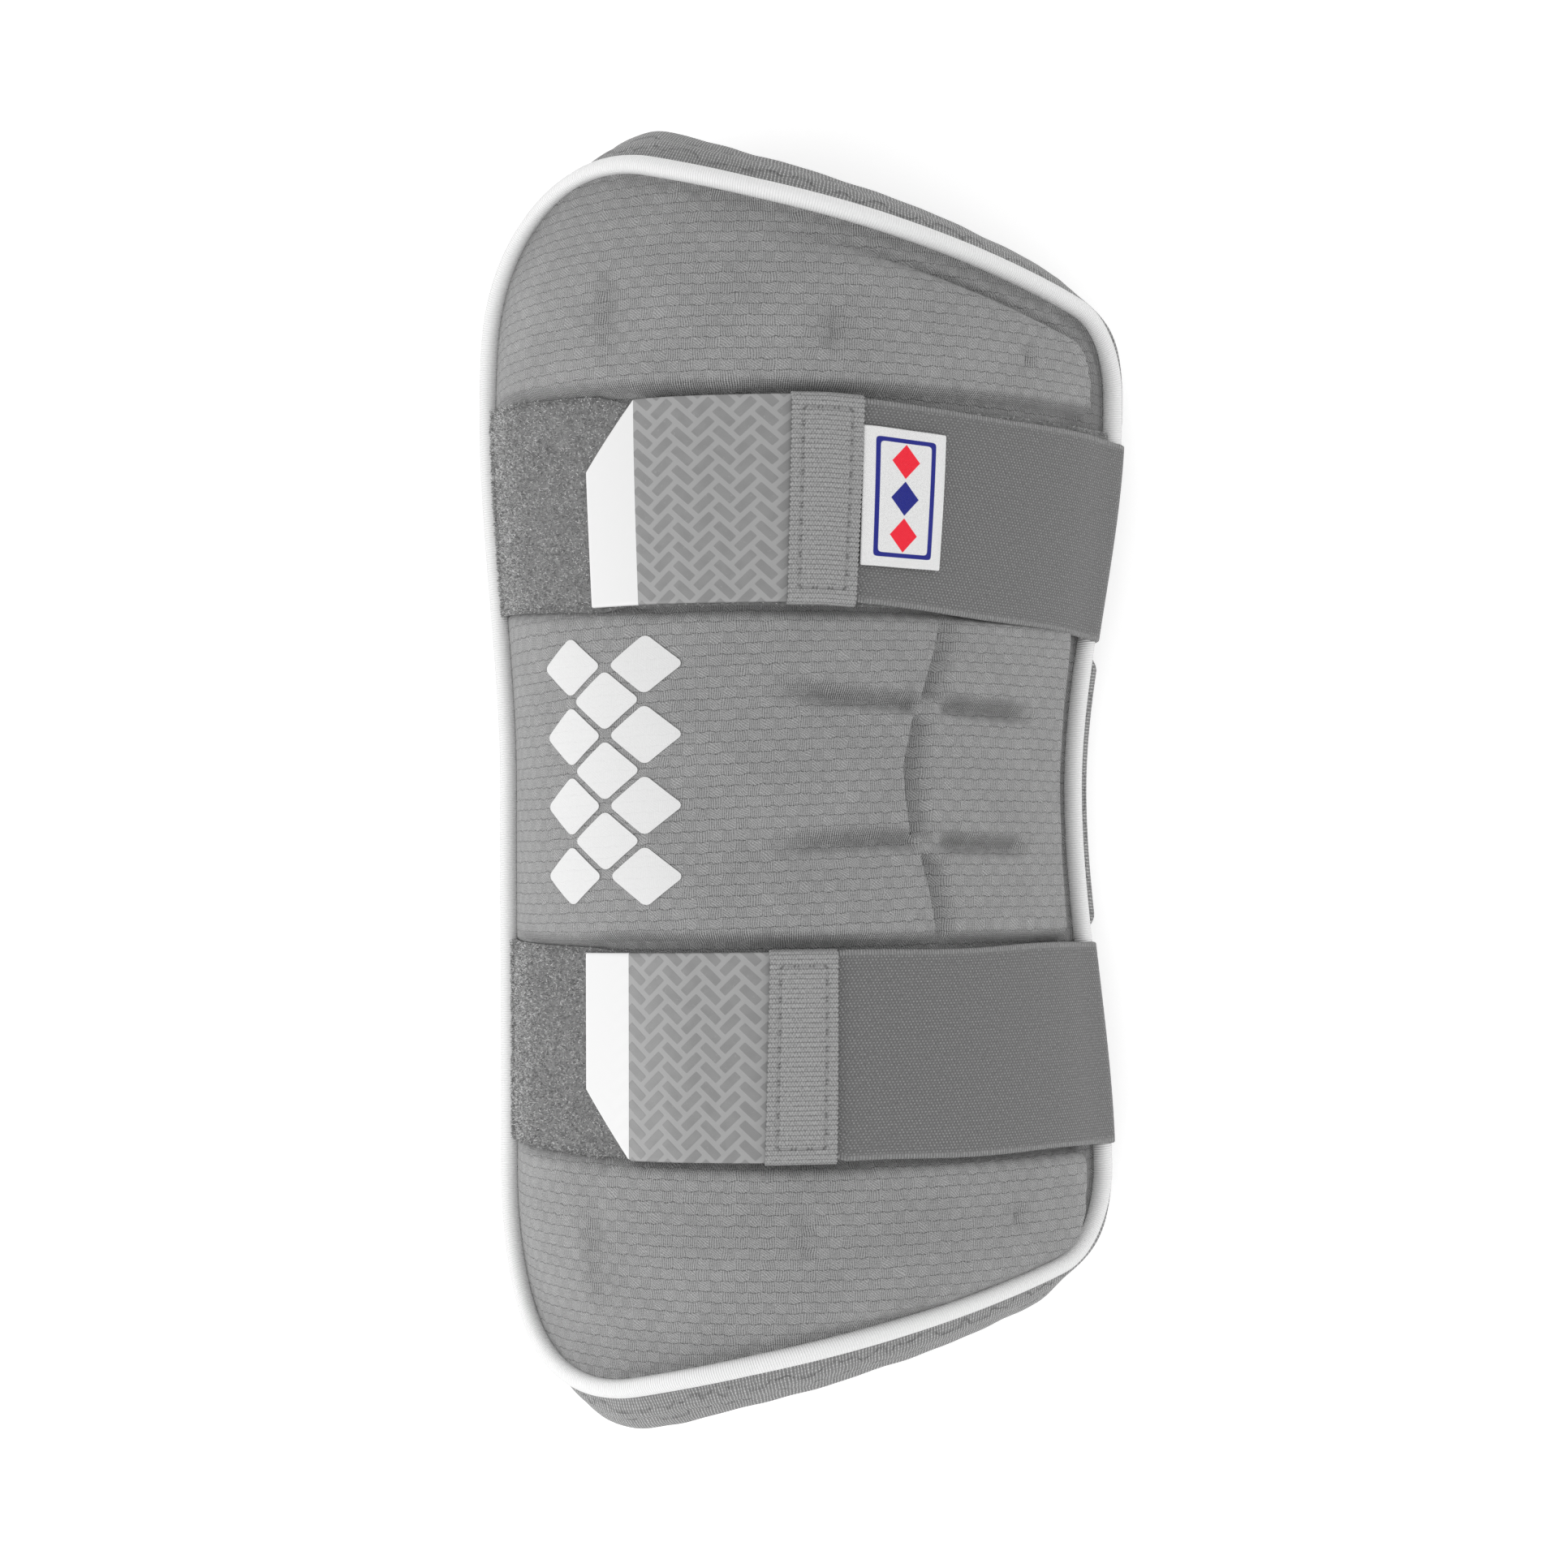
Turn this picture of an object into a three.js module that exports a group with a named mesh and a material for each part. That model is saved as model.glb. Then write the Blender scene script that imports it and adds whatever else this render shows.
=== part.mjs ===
// A batter's leg guard lying on its long edges with the arched front face up and its top end towards +Y.
// Millimetres, +Z up, origin on the floor under the middle of the guard.
//
// The front face is laid out flat first: "arc" is measured across the guard from the crown line of the
// arch, y along the guard, and "lift" square to the face. place() bends that layout into the arch.
import * as THREE from 'three';

const { degToRad, lerp, smoothstep } = THREE.MathUtils;

// Cross section of the arch: tilt of the face in degrees at each arc distance from the crown.
const sectionRows = [
  { arc: -94, tilt: -75 },
  { arc: -73, tilt: -61 },
  { arc: -49, tilt: -44 },
  { arc: -25, tilt: -24 },
  { arc: 29, tilt: 22 },
  { arc: 54, tilt: 34 },
  { arc: 78, tilt: 43 },
  { arc: 94, tilt: 51 },
  { arc: 104, tilt: 46 },
];

// Widening of the left and right half of the section along the guard, which is waisted on the right.
const taperRows = [
  { y: -145, left: 0.955, right: 1.05 },
  { y: -100, left: 0.985, right: 1.04 },
  { y: 0, left: 0.99, right: 0.957 },
  { y: 100, left: 1.055, right: 1.075 },
  { y: 122, left: 1.05, right: 1.1 },
  { y: 150, left: 0.95, right: 1.12 },
];

// Outline of the front face along the piping: two straight sides and two slanting ends.
const leftArc = -94;
const rightArc = 104;
const ends = {
  top: { side: 1, crownY: 146, slope: -0.25, leftRadius: 50, rightRadius: 22 },
  bottom: { side: -1, crownY: -140, slope: 0.22, leftRadius: 48, rightRadius: 20 },
};

// Side wall: piping on the rim, then the binding that flares out towards the back.
const piping = { radius: 2.3, lift: 0.3, sides: 7 };
const frontInset = 2.6;
const endFlare = 11.5;
const sideFlare = 7;
const backLift = -12;
const bindingFoot = -12.6;
// Rows give a share of the flare, a distance outwards and a lift: down the outer face, up the inner face.
const bindingRows = [
  { flare: 0, out: 0.8, lift: -2.3 },
  { flare: 0.55, out: 1.2, lift: -5 },
  { flare: 1, out: -0.2, lift: -9.4 },
  { flare: 1, out: 0, lift: bindingFoot },
  { flare: 1, out: -1.6, lift: bindingFoot },
  { flare: 1, out: -1.9, lift: -9.8 },
  { flare: 0.55, out: -0.7, lift: -6.2 },
  { flare: 0, out: -1.4, lift: -2.5 },
];
const padWallRows = [
  { flare: 0, out: -2.2, lift: -2.7 },
  { flare: 0.55, out: -1.5, lift: -6.8 },
  { flare: 1, out: -2.5, lift: -10.2 },
];
const padBackRow = { flare: 1, out: -2.2, lift: backLift };

// Foam under the cover: raised zones, the strap channels between them and the pressed grooves.
const floorLift = 0.4;
const foamLift = 5.2;
const shoulderLeft = 26;
const shoulderRight = 9;
const flangeRight = 6;
const shoulderChange = { from: -60, to: 50 };
const channelHalf = 28;
const channelRamp = 6;
const crossGrooves = [
  { y: 20, from: -4, to: 80 },
  { y: -16, from: -4, to: 80 },
];
const grooveHalf = 2.6;
const grooveDepth = 1.8;
const longGroove = { arc: 40, bow: 12, reach: 36, fade: 60, spread: 18 };

// Straps and what is sewn on them. Slope is the strap's fall per millimetre of arc.
const strapRows = [
  { name: 'upper', y: 68.5, slope: -0.044, sleeveArc: 15.8, tipArc: -40.5, chamferSide: 1 },
  { name: 'lower', y: -66, slope: -0.008, sleeveArc: 11.2, tipArc: -43, chamferSide: -1 },
];
const strapHalf = 25.4;
const strapThick = 1.6;
const strapLift = 3.5;
const strapEdge = { lift: 6.3, rampStart: 18, rampEnd: 4 };
const patchHalf = 27.2;
const patchThick = 1.6;
const fitGap = 0.3;
const sleeve = { width: 16.4, wall: 1, slotHeight: 2.5, slotHalf: 25, ramp: 13 };
const tab = { thick: 1.8, half: 25, chamferArc: 13.5, chamferY: 17 };
const label = { arc: 25, width: 19.4, y: 70.4, height: 34.5, thick: 0.8 };
const sewnEnd = { bendArc: -86, topArc: -58 };

// Steps of the faceted walls.
const columnSteps = 24;
const endZoneShares = [0, 0.12, 0.35, 0.65];
const middleZoneSteps = 3;
const cornerSteps = 9;
const edgeSteps = 11;
const stripSteps = 3;
const patchSteps = 20;
const tabSteps = { tip: 3, body: 8 };
const labelSteps = 4;
const strapSteps = { front: 16, rightBend: 10, leftBend: 8, sewnEnd: 4 };
const sleeveSteps = { along: 3, fold: 4 };

const hypotenuse = (slope) => Math.hypot(1, slope);
const patchTop = floorLift + fitGap + patchThick;
const sleeveBase = patchTop + fitGap;
const sleeveHeight = sleeve.slotHeight + 2 * sleeve.wall;
const sleeveLift = sleeveBase + sleeveHeight / 2;

// Section of the arch, as circular arcs from row to row, straight past the last row.

function follow(start, bend, arc) {
  const run = arc - start.arc;
  const tilt = start.tilt + bend * run;
  if (bend === 0) {
    return { arc, tilt, x: start.x + run * Math.cos(tilt), z: start.z - run * Math.sin(tilt) };
  }
  const x = start.x + (Math.sin(tilt) - Math.sin(start.tilt)) / bend;
  const z = start.z + (Math.cos(tilt) - Math.cos(start.tilt)) / bend;
  return { arc, tilt, x, z };
}

function sectionBelowCrown(arc) {
  const rows = sectionRows.filter((row) => row.arc * arc > 0);
  rows.sort((a, b) => Math.abs(a.arc) - Math.abs(b.arc));
  let here = { arc: 0, tilt: 0, x: 0, z: 0 };
  for (const row of rows) {
    const bend = (degToRad(row.tilt) - here.tilt) / (row.arc - here.arc);
    if (Math.abs(row.arc) >= Math.abs(arc)) {
      return follow(here, bend, arc);
    }
    here = follow(here, bend, row.arc);
  }
  return follow(here, 0, arc);
}

// The crown is as high as puts the lower edge of the binding's left side on the floor.
const leftFoot = sectionBelowCrown(leftArc - sideFlare);
const crownHeight = -(leftFoot.z + bindingFoot * Math.cos(leftFoot.tilt));

function taperAt(y, half) {
  let value = taperRows[0][half];
  for (let i = 1; i < taperRows.length; i += 1) {
    const step = smoothstep(y, taperRows[i - 1].y, taperRows[i].y);
    value += step * (taperRows[i][half] - taperRows[i - 1][half]);
  }
  return value;
}

function place(arc, y, lift) {
  const at = sectionBelowCrown(arc);
  const taper = taperAt(y, arc < 0 ? 'left' : 'right');
  const x = taper * at.x + lift * Math.sin(at.tilt);
  const z = crownHeight + at.z + lift * Math.cos(at.tilt);
  return new THREE.Vector3(x, y, z);
}

// Outline of the front face, moved outwards by "out" (negative is inwards).

function makeCorner(end, sideArc, radius) {
  const inward = sideArc < 0 ? 1 : -1;
  const arc = sideArc + inward * radius;
  const y = end.crownY + end.slope * arc - end.side * radius * hypotenuse(end.slope);
  return { arc, y, radius };
}

for (const end of Object.values(ends)) {
  end.left = makeCorner(end, leftArc, end.leftRadius);
  end.right = makeCorner(end, rightArc, end.rightRadius);
  const length = hypotenuse(end.slope);
  end.normal = new THREE.Vector2((-end.side * end.slope) / length, end.side / length);
}

function endPoint(end, arc, out) {
  for (const corner of [end.left, end.right]) {
    const reach = corner.radius + out;
    const tangent = corner.arc + reach * end.normal.x;
    const beyond = corner === end.left ? arc < tangent : arc > tangent;
    if (beyond) {
      const rise = end.side * Math.sqrt(Math.max(0, reach ** 2 - (arc - corner.arc) ** 2));
      const normal = new THREE.Vector2(arc - corner.arc, rise).divideScalar(reach);
      return { y: corner.y + rise, normal };
    }
  }
  const y = end.crownY + end.slope * arc + end.side * out * hypotenuse(end.slope);
  return { y, normal: end.normal };
}

function cornerTurns() {
  const { top, bottom } = ends;
  return [
    { corner: top.left, start: Math.PI, stop: top.normal.angle() },
    { corner: top.right, start: top.normal.angle(), stop: 0 },
    { corner: bottom.right, start: 0, stop: bottom.normal.angle() - 2 * Math.PI },
    { corner: bottom.left, start: bottom.normal.angle() - 2 * Math.PI, stop: -Math.PI },
  ];
}

function rimNodes() {
  const turns = cornerTurns();
  const nodes = [];
  const onCorner = ({ corner }, angle) => ({
    arc: corner.arc + corner.radius * Math.cos(angle),
    y: corner.y + corner.radius * Math.sin(angle),
    normal: new THREE.Vector2(Math.cos(angle), Math.sin(angle)),
  });
  turns.forEach((turn, index) => {
    for (let i = 0; i < cornerSteps; i += 1) {
      nodes.push(onCorner(turn, lerp(turn.start, turn.stop, i / cornerSteps)));
    }
    const from = onCorner(turn, turn.stop);
    const next = turns[(index + 1) % turns.length];
    const to = onCorner(next, next.start);
    for (let i = 0; i < edgeSteps; i += 1) {
      const t = i / edgeSteps;
      nodes.push({ arc: lerp(from.arc, to.arc, t), y: lerp(from.y, to.y, t), normal: from.normal });
    }
  });
  return nodes;
}

const flareAt = (normal) => lerp(sideFlare, endFlare, normal.y ** 2);

function rimPoint(node, out, lift) {
  return place(node.arc + out * node.normal.x, node.y + out * node.normal.y, lift);
}

function insetFromRim(arc, y) {
  const { top, bottom } = ends;
  for (const { corner, start, stop } of cornerTurns()) {
    const offset = new THREE.Vector2(arc - corner.arc, y - corner.y);
    const first = new THREE.Vector2(Math.cos(start), Math.sin(start));
    const last = new THREE.Vector2(Math.cos(stop), Math.sin(stop));
    const span = first.cross(last);
    if (offset.cross(last) / span > 0 && first.cross(offset) / span > 0) {
      return corner.radius - offset.length();
    }
  }
  const toTop = (top.crownY + top.slope * arc - y) / hypotenuse(top.slope);
  const toBottom = (y - bottom.crownY - bottom.slope * arc) / hypotenuse(bottom.slope);
  return Math.min(arc - leftArc, rightArc - arc, toTop, toBottom);
}

// Closed solids from lattices of points.

function finishGeometry(vertices, triangles) {
  const cross = new THREE.Vector3();
  let volume = 0;
  for (const [a, b, c] of triangles) {
    volume += vertices[a].dot(cross.crossVectors(vertices[b], vertices[c]));
  }
  const outward = volume > 0 ? triangles : triangles.map(([a, b, c]) => [a, c, b]);
  const geometry = new THREE.BufferGeometry();
  const positions = vertices.flatMap((vertex) => vertex.toArray());
  geometry.setAttribute('position', new THREE.Float32BufferAttribute(positions, 3));
  geometry.setIndex(outward.flat());
  geometry.computeVertexNormals();
  return geometry;
}

const quad = (a, b, c, d) => [[a, b, c], [a, c, d]];

// A ring that closes on itself: sections[k] is the closed outline of the wall at step k.
function ringGeometry(sections) {
  const count = sections[0].length;
  const triangles = [];
  for (let k = 0; k < sections.length; k += 1) {
    const next = (k + 1) % sections.length;
    for (let q = 0; q < count; q += 1) {
      const r = (q + 1) % count;
      triangles.push(...quad(k * count + q, next * count + q, next * count + r, k * count + r));
    }
  }
  return finishGeometry(sections.flat(), triangles);
}

function rimOrder(columns, rows) {
  const counted = (count) => Array.from({ length: count }, (_, k) => k);
  return [
    ...counted(columns).map((k) => [k, 0]),
    ...counted(rows).map((k) => [columns, k]),
    ...counted(columns).map((k) => [columns - k, rows]),
    ...counted(rows).map((k) => [0, rows - k]),
  ];
}

// A slab between two grids of the same size, with any number of wall loops round its edge.
function slabGeometry(upper, lower, wallLoops = []) {
  const columns = upper.length - 1;
  const rows = upper[0].length - 1;
  const gridSize = (columns + 1) * (rows + 1);
  const vertices = [...upper.flat(), ...lower.flat(), ...wallLoops.flat()];
  const triangles = [];
  const at = (i, j) => i * (rows + 1) + j;
  for (let i = 0; i < columns; i += 1) {
    for (let j = 0; j < rows; j += 1) {
      const corners = [at(i, j), at(i + 1, j), at(i + 1, j + 1), at(i, j + 1)];
      triangles.push(...quad(...corners));
      triangles.push(...quad(...corners.map((index) => index + gridSize).reverse()));
    }
  }
  const rim = rimOrder(columns, rows).map(([i, j]) => at(i, j));
  const wallStart = (index) => 2 * gridSize + index * rim.length;
  const loops = [rim, ...wallLoops.map((_, w) => rim.map((_, k) => wallStart(w) + k))];
  loops.push(rim.map((index) => index + gridSize));
  for (let w = 0; w + 1 < loops.length; w += 1) {
    for (let k = 0; k < rim.length; k += 1) {
      const n = (k + 1) % rim.length;
      triangles.push(...quad(loops[w][k], loops[w + 1][k], loops[w + 1][n], loops[w][n]));
    }
  }
  return finishGeometry(vertices, triangles);
}

function evenSteps(from, to, steps) {
  return Array.from({ length: steps + 1 }, (_, i) => lerp(from, to, i / steps));
}

// The padded body.

function grooveAt(arc, y) {
  const bowed = longGroove.arc + longGroove.bow * Math.min(1, (y / longGroove.reach) ** 2);
  const beside = Math.abs(arc - bowed);
  const lengthwise = Math.abs(y) < longGroove.reach ? 1 - smoothstep(beside, 0, grooveHalf) : 0;
  const across = crossGrooves.map(({ y: line, from, to }) => {
    const within = smoothstep(arc, from, from + grooveHalf) * (1 - smoothstep(arc, to - grooveHalf, to));
    return within * (1 - smoothstep(Math.abs(y - line), 0, grooveHalf));
  });
  return Math.max(lengthwise, ...across);
}

function frontLift(arc, y) {
  const rightness = smoothstep(arc, shoulderChange.from, shoulderChange.to);
  const flange = flangeRight * rightness;
  const shoulder = lerp(shoulderLeft, shoulderRight, rightness);
  let foam = smoothstep(insetFromRim(arc, y), flange, flange + shoulder);
  for (const strap of strapRows) {
    foam *= smoothstep(Math.abs(y - strap.y), channelHalf, channelHalf + channelRamp);
  }
  return floorLift + foam * (foamLift - grooveDepth * grooveAt(arc, y));
}

function padColumns() {
  const rimWidth = rightArc - leftArc;
  const grooveSpot = (longGroove.arc - leftArc) / rimWidth;
  const grooveStep = grooveHalf / rimWidth;
  const even = evenSteps(0, Math.PI, columnSteps).map((turn) => 0.5 - 0.5 * Math.cos(turn));
  const clear = even.filter((spot) => Math.abs(spot - grooveSpot) > 2 * grooveStep);
  return [...clear, grooveSpot - grooveStep, grooveSpot, grooveSpot + grooveStep].sort((a, b) => a - b);
}

// Rows of the pad grid, from the bottom edge to the top edge, each a height at a given column.
function padRows() {
  const [upper, lower] = strapRows;
  const outside = channelHalf + channelRamp;
  const middle = channelHalf + channelRamp / 2;
  const acrossChannel = [-outside, -middle, -channelHalf, 0, channelHalf, middle, outside];
  const channelLines = (y) => acrossChannel.map((offset) => y + offset);
  const grooveLines = (y) => [y - grooveHalf, y, y + grooveHalf];
  const [upperGroove, lowerGroove] = crossGrooves;
  const middleStart = lowerGroove.y + grooveHalf;
  const middleStop = upperGroove.y - grooveHalf;
  const lines = [
    ...channelLines(lower.y),
    ...grooveLines(lowerGroove.y),
    ...evenSteps(middleStart, middleStop, middleZoneSteps).slice(1, -1),
    ...grooveLines(upperGroove.y),
    ...channelLines(upper.y),
  ];
  return [
    ...endZoneShares.map((share) => (low) => lerp(low, lines[0], share)),
    ...lines.map((line) => () => line),
    ...endZoneShares.toReversed().map((share) => (low, high) => lerp(high, lines.at(-1), share)),
  ];
}

// The flat layout of the pad, a grid of spots. Those on its rim also know which way is outwards.
function padLayout() {
  const rows = padRows();
  const layout = padColumns().map((spot) => {
    const arc = lerp(leftArc + frontInset, rightArc - frontInset, spot);
    const low = endPoint(ends.bottom, arc, -frontInset);
    const high = endPoint(ends.top, arc, -frontInset);
    const column = rows.map((rowAt) => ({ arc, y: rowAt(low.y, high.y) }));
    column[0].normal = low.normal;
    column.at(-1).normal = high.normal;
    return column;
  });
  for (const spot of layout[0]) {
    spot.normal = new THREE.Vector2(-1, 0);
  }
  for (const spot of layout.at(-1)) {
    spot.normal = new THREE.Vector2(1, 0);
  }
  return layout;
}

// Columns near the long groove bow with it in the middle zone.
function bowedArc(arc, y) {
  const inMiddle = 1 - smoothstep(Math.abs(y), longGroove.reach, longGroove.fade);
  const nearGroove = Math.exp(-(((arc - longGroove.arc) / longGroove.spread) ** 2));
  return arc + longGroove.bow * Math.min(1, (y / longGroove.reach) ** 2) * inMiddle * nearGroove;
}

function padShell() {
  const layout = padLayout();
  const wallPoint = ({ arc, y, normal }, row) => {
    const out = frontInset + row.out + row.flare * flareAt(normal);
    return place(arc + out * normal.x, y + out * normal.y, row.lift);
  };
  const front = layout.map((column) => column.map(({ arc, y, normal }) => {
    const spotArc = normal ? arc : bowedArc(arc, y);
    return place(spotArc, y, frontLift(spotArc, y));
  }));
  const back = layout.map((column) => column.map((spot) => (
    spot.normal ? wallPoint(spot, padBackRow) : place(spot.arc, spot.y, padBackRow.lift)
  )));
  const rim = rimOrder(front.length - 1, front[0].length - 1);
  const walls = padWallRows.map((row) => rim.map(([i, j]) => wallPoint(layout[i][j], row)));
  return slabGeometry(front, back, walls);
}

// The rim pieces.

function pipingRing() {
  const turns = evenSteps(0, 2 * Math.PI, piping.sides).slice(0, -1);
  return ringGeometry(rimNodes().map((node) => turns.map((turn) => (
    rimPoint(node, piping.radius * Math.cos(turn), piping.lift + piping.radius * Math.sin(turn))
  ))));
}

function bindingRing() {
  return ringGeometry(rimNodes().map((node) => bindingRows.map((row) => (
    rimPoint(node, row.flare * flareAt(node.normal) + row.out, row.lift)
  ))));
}

// Strips that lie on the front face.

const strapShift = (strap, arc) => strap.slope * (arc - strap.sleeveArc);

function liftedAtSleeve(strap, arc) {
  const away = Math.abs(arc - strap.sleeveArc) - sleeve.width / 2;
  const atSleeve = lerp(sleeveLift, strapLift, smoothstep(away, 0, sleeve.ramp));
  const edgeRamp = smoothstep(arc, rightArc - strapEdge.rampStart, rightArc - strapEdge.rampEnd);
  return atSleeve + edgeRamp * (strapEdge.lift - strapLift);
}

function strip(arcs, yAt, liftAt, thick) {
  const grid = (side) => arcs.map((arc) => {
    const lift = liftAt(arc) + (side * thick) / 2;
    return yAt(arc).map((y) => place(arc, y, lift));
  });
  return slabGeometry(grid(1), grid(-1));
}

function loopPatch(strap) {
  const besidePiping = piping.radius + 2 * fitGap;
  const arcs = evenSteps(leftArc + besidePiping, rightArc - besidePiping, patchSteps);
  const across = evenSteps(strap.y - patchHalf, strap.y + patchHalf, stripSteps);
  return strip(arcs, () => across, () => patchTop - patchThick / 2, patchThick);
}

function pullTab(strap) {
  const rightEnd = strap.sleeveArc - fitGap;
  const chamferArc = strap.tipArc + tab.chamferArc;
  const tipArcs = evenSteps(strap.tipArc, chamferArc, tabSteps.tip);
  const arcs = [...tipArcs, ...evenSteps(chamferArc, rightEnd, tabSteps.body).slice(1)];
  const yAt = (arc) => {
    const middle = strap.y + strapShift(strap, arc);
    const cut = tab.chamferY * Math.max(0, (chamferArc - arc) / tab.chamferArc);
    const plain = middle - strap.chamferSide * tab.half;
    const chamfered = middle + strap.chamferSide * (tab.half - cut);
    return evenSteps(plain, chamfered, stripSteps);
  };
  return strip(arcs, yAt, (arc) => liftedAtSleeve(strap, arc), tab.thick);
}

function wovenLabel(strap) {
  const arcs = evenSteps(label.arc, label.arc + label.width, labelSteps);
  const yAt = (arc) => {
    const middle = label.y + strapShift(strap, arc);
    return evenSteps(middle - label.height / 2, middle + label.height / 2, stripSteps);
  };
  const onStrap = strapThick / 2 + fitGap + label.thick / 2;
  return strip(arcs, yAt, (arc) => liftedAtSleeve(strap, arc) + onStrap, label.thick);
}

// The elastic: over the right edge, round it onto the floor, across, and up inside the left edge.
function strapStations(strap) {
  const frontArcs = evenSteps(strap.sleeveArc + fitGap, rightArc, strapSteps.front);
  const endArcs = evenSteps(sewnEnd.bendArc, sewnEnd.topArc, strapSteps.sewnEnd);
  const endLift = backLift - fitGap - strapThick / 2;
  const onFace = (arc, lift, shift) => ({
    shift,
    tilt: sectionBelowCrown(arc).tilt,
    at: (y) => place(arc, y, lift),
  });
  const front = frontArcs.map((arc) => onFace(arc, liftedAtSleeve(strap, arc), strapShift(strap, arc)));
  const sewn = endArcs.map((arc) => onFace(arc, endLift, 0));
  const bendFrom = (station, angles) => {
    const height = station.at(strap.y).z - strapThick / 2;
    const radius = height / (1 + Math.cos(station.tilt));
    return angles.map((tilt) => ({
      shift: station.shift,
      tilt,
      at: (y) => {
        const start = station.at(y);
        const x = start.x + radius * (Math.sin(tilt) - Math.sin(station.tilt));
        const z = start.z + radius * (Math.cos(tilt) - Math.cos(station.tilt));
        return new THREE.Vector3(x, y, z);
      },
    }));
  };
  const rightTurns = evenSteps(front.at(-1).tilt, Math.PI, strapSteps.rightBend);
  const leftTurns = evenSteps(-Math.PI, sewn[0].tilt, strapSteps.leftBend);
  const rightBend = bendFrom(front.at(-1), rightTurns).slice(1);
  const leftBend = bendFrom(sewn[0], leftTurns).slice(0, -1);
  return [...front, ...rightBend, ...leftBend, ...sewn];
}

function elasticStrap(strap) {
  const stations = strapStations(strap);
  const across = evenSteps(-strapHalf, strapHalf, stripSteps);
  const grid = (side) => stations.map(({ tilt, shift, at }) => {
    const outward = new THREE.Vector3(Math.sin(tilt), 0, Math.cos(tilt));
    return across.map((offset) => {
      const point = at(strap.y + shift + offset);
      return point.addScaledVector(outward, (side * strapThick) / 2);
    });
  });
  return slabGeometry(grid(1), grid(-1));
}

// A flat tube of webbing round the strap and the end of the pull tab.
function strapSleeve(strap) {
  const start = strap.sleeveArc - sleeve.width / 2;
  const arcs = evenSteps(start, start + sleeve.width, sleeveSteps.along);
  const foldSteps = evenSteps(-Math.PI / 2, Math.PI / 2, sleeveSteps.fold);
  const flatSteps = evenSteps(-1, 1, stripSteps).slice(1, -1);
  const halfProfile = [
    ...foldSteps.map((turn) => ({ flat: 1, out: Math.cos(turn), up: Math.sin(turn) })),
    ...flatSteps.map((share) => ({ flat: -share, out: 0, up: 1 })),
  ];
  const turned = halfProfile.map(({ flat, out, up }) => ({ flat: -flat, out: -out, up: -up }));
  const profile = [...halfProfile, ...turned];
  const pointAt = ({ flat, out, up }, arc, radius) => {
    const y = strap.y + strapShift(strap, arc) + flat * sleeve.slotHalf + out * radius;
    return place(arc, y, sleeveLift + up * radius);
  };
  const slotRadius = sleeve.slotHeight / 2;
  return ringGeometry(profile.map((spot) => [
    ...arcs.map((arc) => pointAt(spot, arc, slotRadius + sleeve.wall)),
    ...arcs.toReversed().map((arc) => pointAt(spot, arc, slotRadius)),
  ]));
}

// Assembly.

const finishes = {
  cover: { color: 0x939393, roughness: 0.85 },
  binding: { color: 0x8d8d8d, roughness: 0.8 },
  piping: { color: 0xf0f0f0, roughness: 0.55 },
  loop: { color: 0x828282, roughness: 0.95 },
  elastic: { color: 0x757575, roughness: 0.8 },
  webbing: { color: 0x919191, roughness: 0.75 },
  film: { color: 0x9c9c9c, roughness: 0.4 },
  label: { color: 0xefefef, roughness: 0.6 },
};

const guard = new THREE.Group();

function add(name, finish, geometry) {
  const material = new THREE.MeshStandardMaterial({ ...finishes[finish], metalness: 0 });
  const mesh = new THREE.Mesh(geometry, material);
  mesh.name = name;
  guard.add(mesh);
}

add('pad_shell', 'cover', padShell());
add('edge_binding', 'binding', bindingRing());
add('piping', 'piping', pipingRing());
for (const strap of strapRows) {
  add(`loop_patch_${strap.name}`, 'loop', loopPatch(strap));
  add(`strap_${strap.name}`, 'elastic', elasticStrap(strap));
  add(`strap_sleeve_${strap.name}`, 'webbing', strapSleeve(strap));
  add(`pull_tab_${strap.name}`, 'film', pullTab(strap));
}
add('woven_label', 'label', wovenLabel(strapRows[0]));

const middle = new THREE.Box3().setFromObject(guard).getCenter(new THREE.Vector3());
guard.position.set(-middle.x, -middle.y, 0);

export default guard;
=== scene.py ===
# A batter's leg guard lying on its long edges, arched front face up. The frame holds its sizes and places.
import math

import bpy
import numpy as np
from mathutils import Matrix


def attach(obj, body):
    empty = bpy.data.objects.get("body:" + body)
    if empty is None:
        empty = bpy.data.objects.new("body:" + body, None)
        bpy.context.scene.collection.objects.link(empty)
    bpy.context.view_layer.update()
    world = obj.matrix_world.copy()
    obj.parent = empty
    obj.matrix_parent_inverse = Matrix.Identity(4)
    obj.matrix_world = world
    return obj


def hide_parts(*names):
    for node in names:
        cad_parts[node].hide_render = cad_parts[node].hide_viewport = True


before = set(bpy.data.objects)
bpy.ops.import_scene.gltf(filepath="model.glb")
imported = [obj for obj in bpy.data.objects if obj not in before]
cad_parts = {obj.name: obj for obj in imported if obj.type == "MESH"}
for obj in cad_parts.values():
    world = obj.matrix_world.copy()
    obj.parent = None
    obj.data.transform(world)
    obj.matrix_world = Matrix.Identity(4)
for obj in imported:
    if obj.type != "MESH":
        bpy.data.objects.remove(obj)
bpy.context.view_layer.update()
print("frame loaded:", len(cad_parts), "nodes")

mm = 0.001  # tables are in millimetres, meshes in metres

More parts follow.
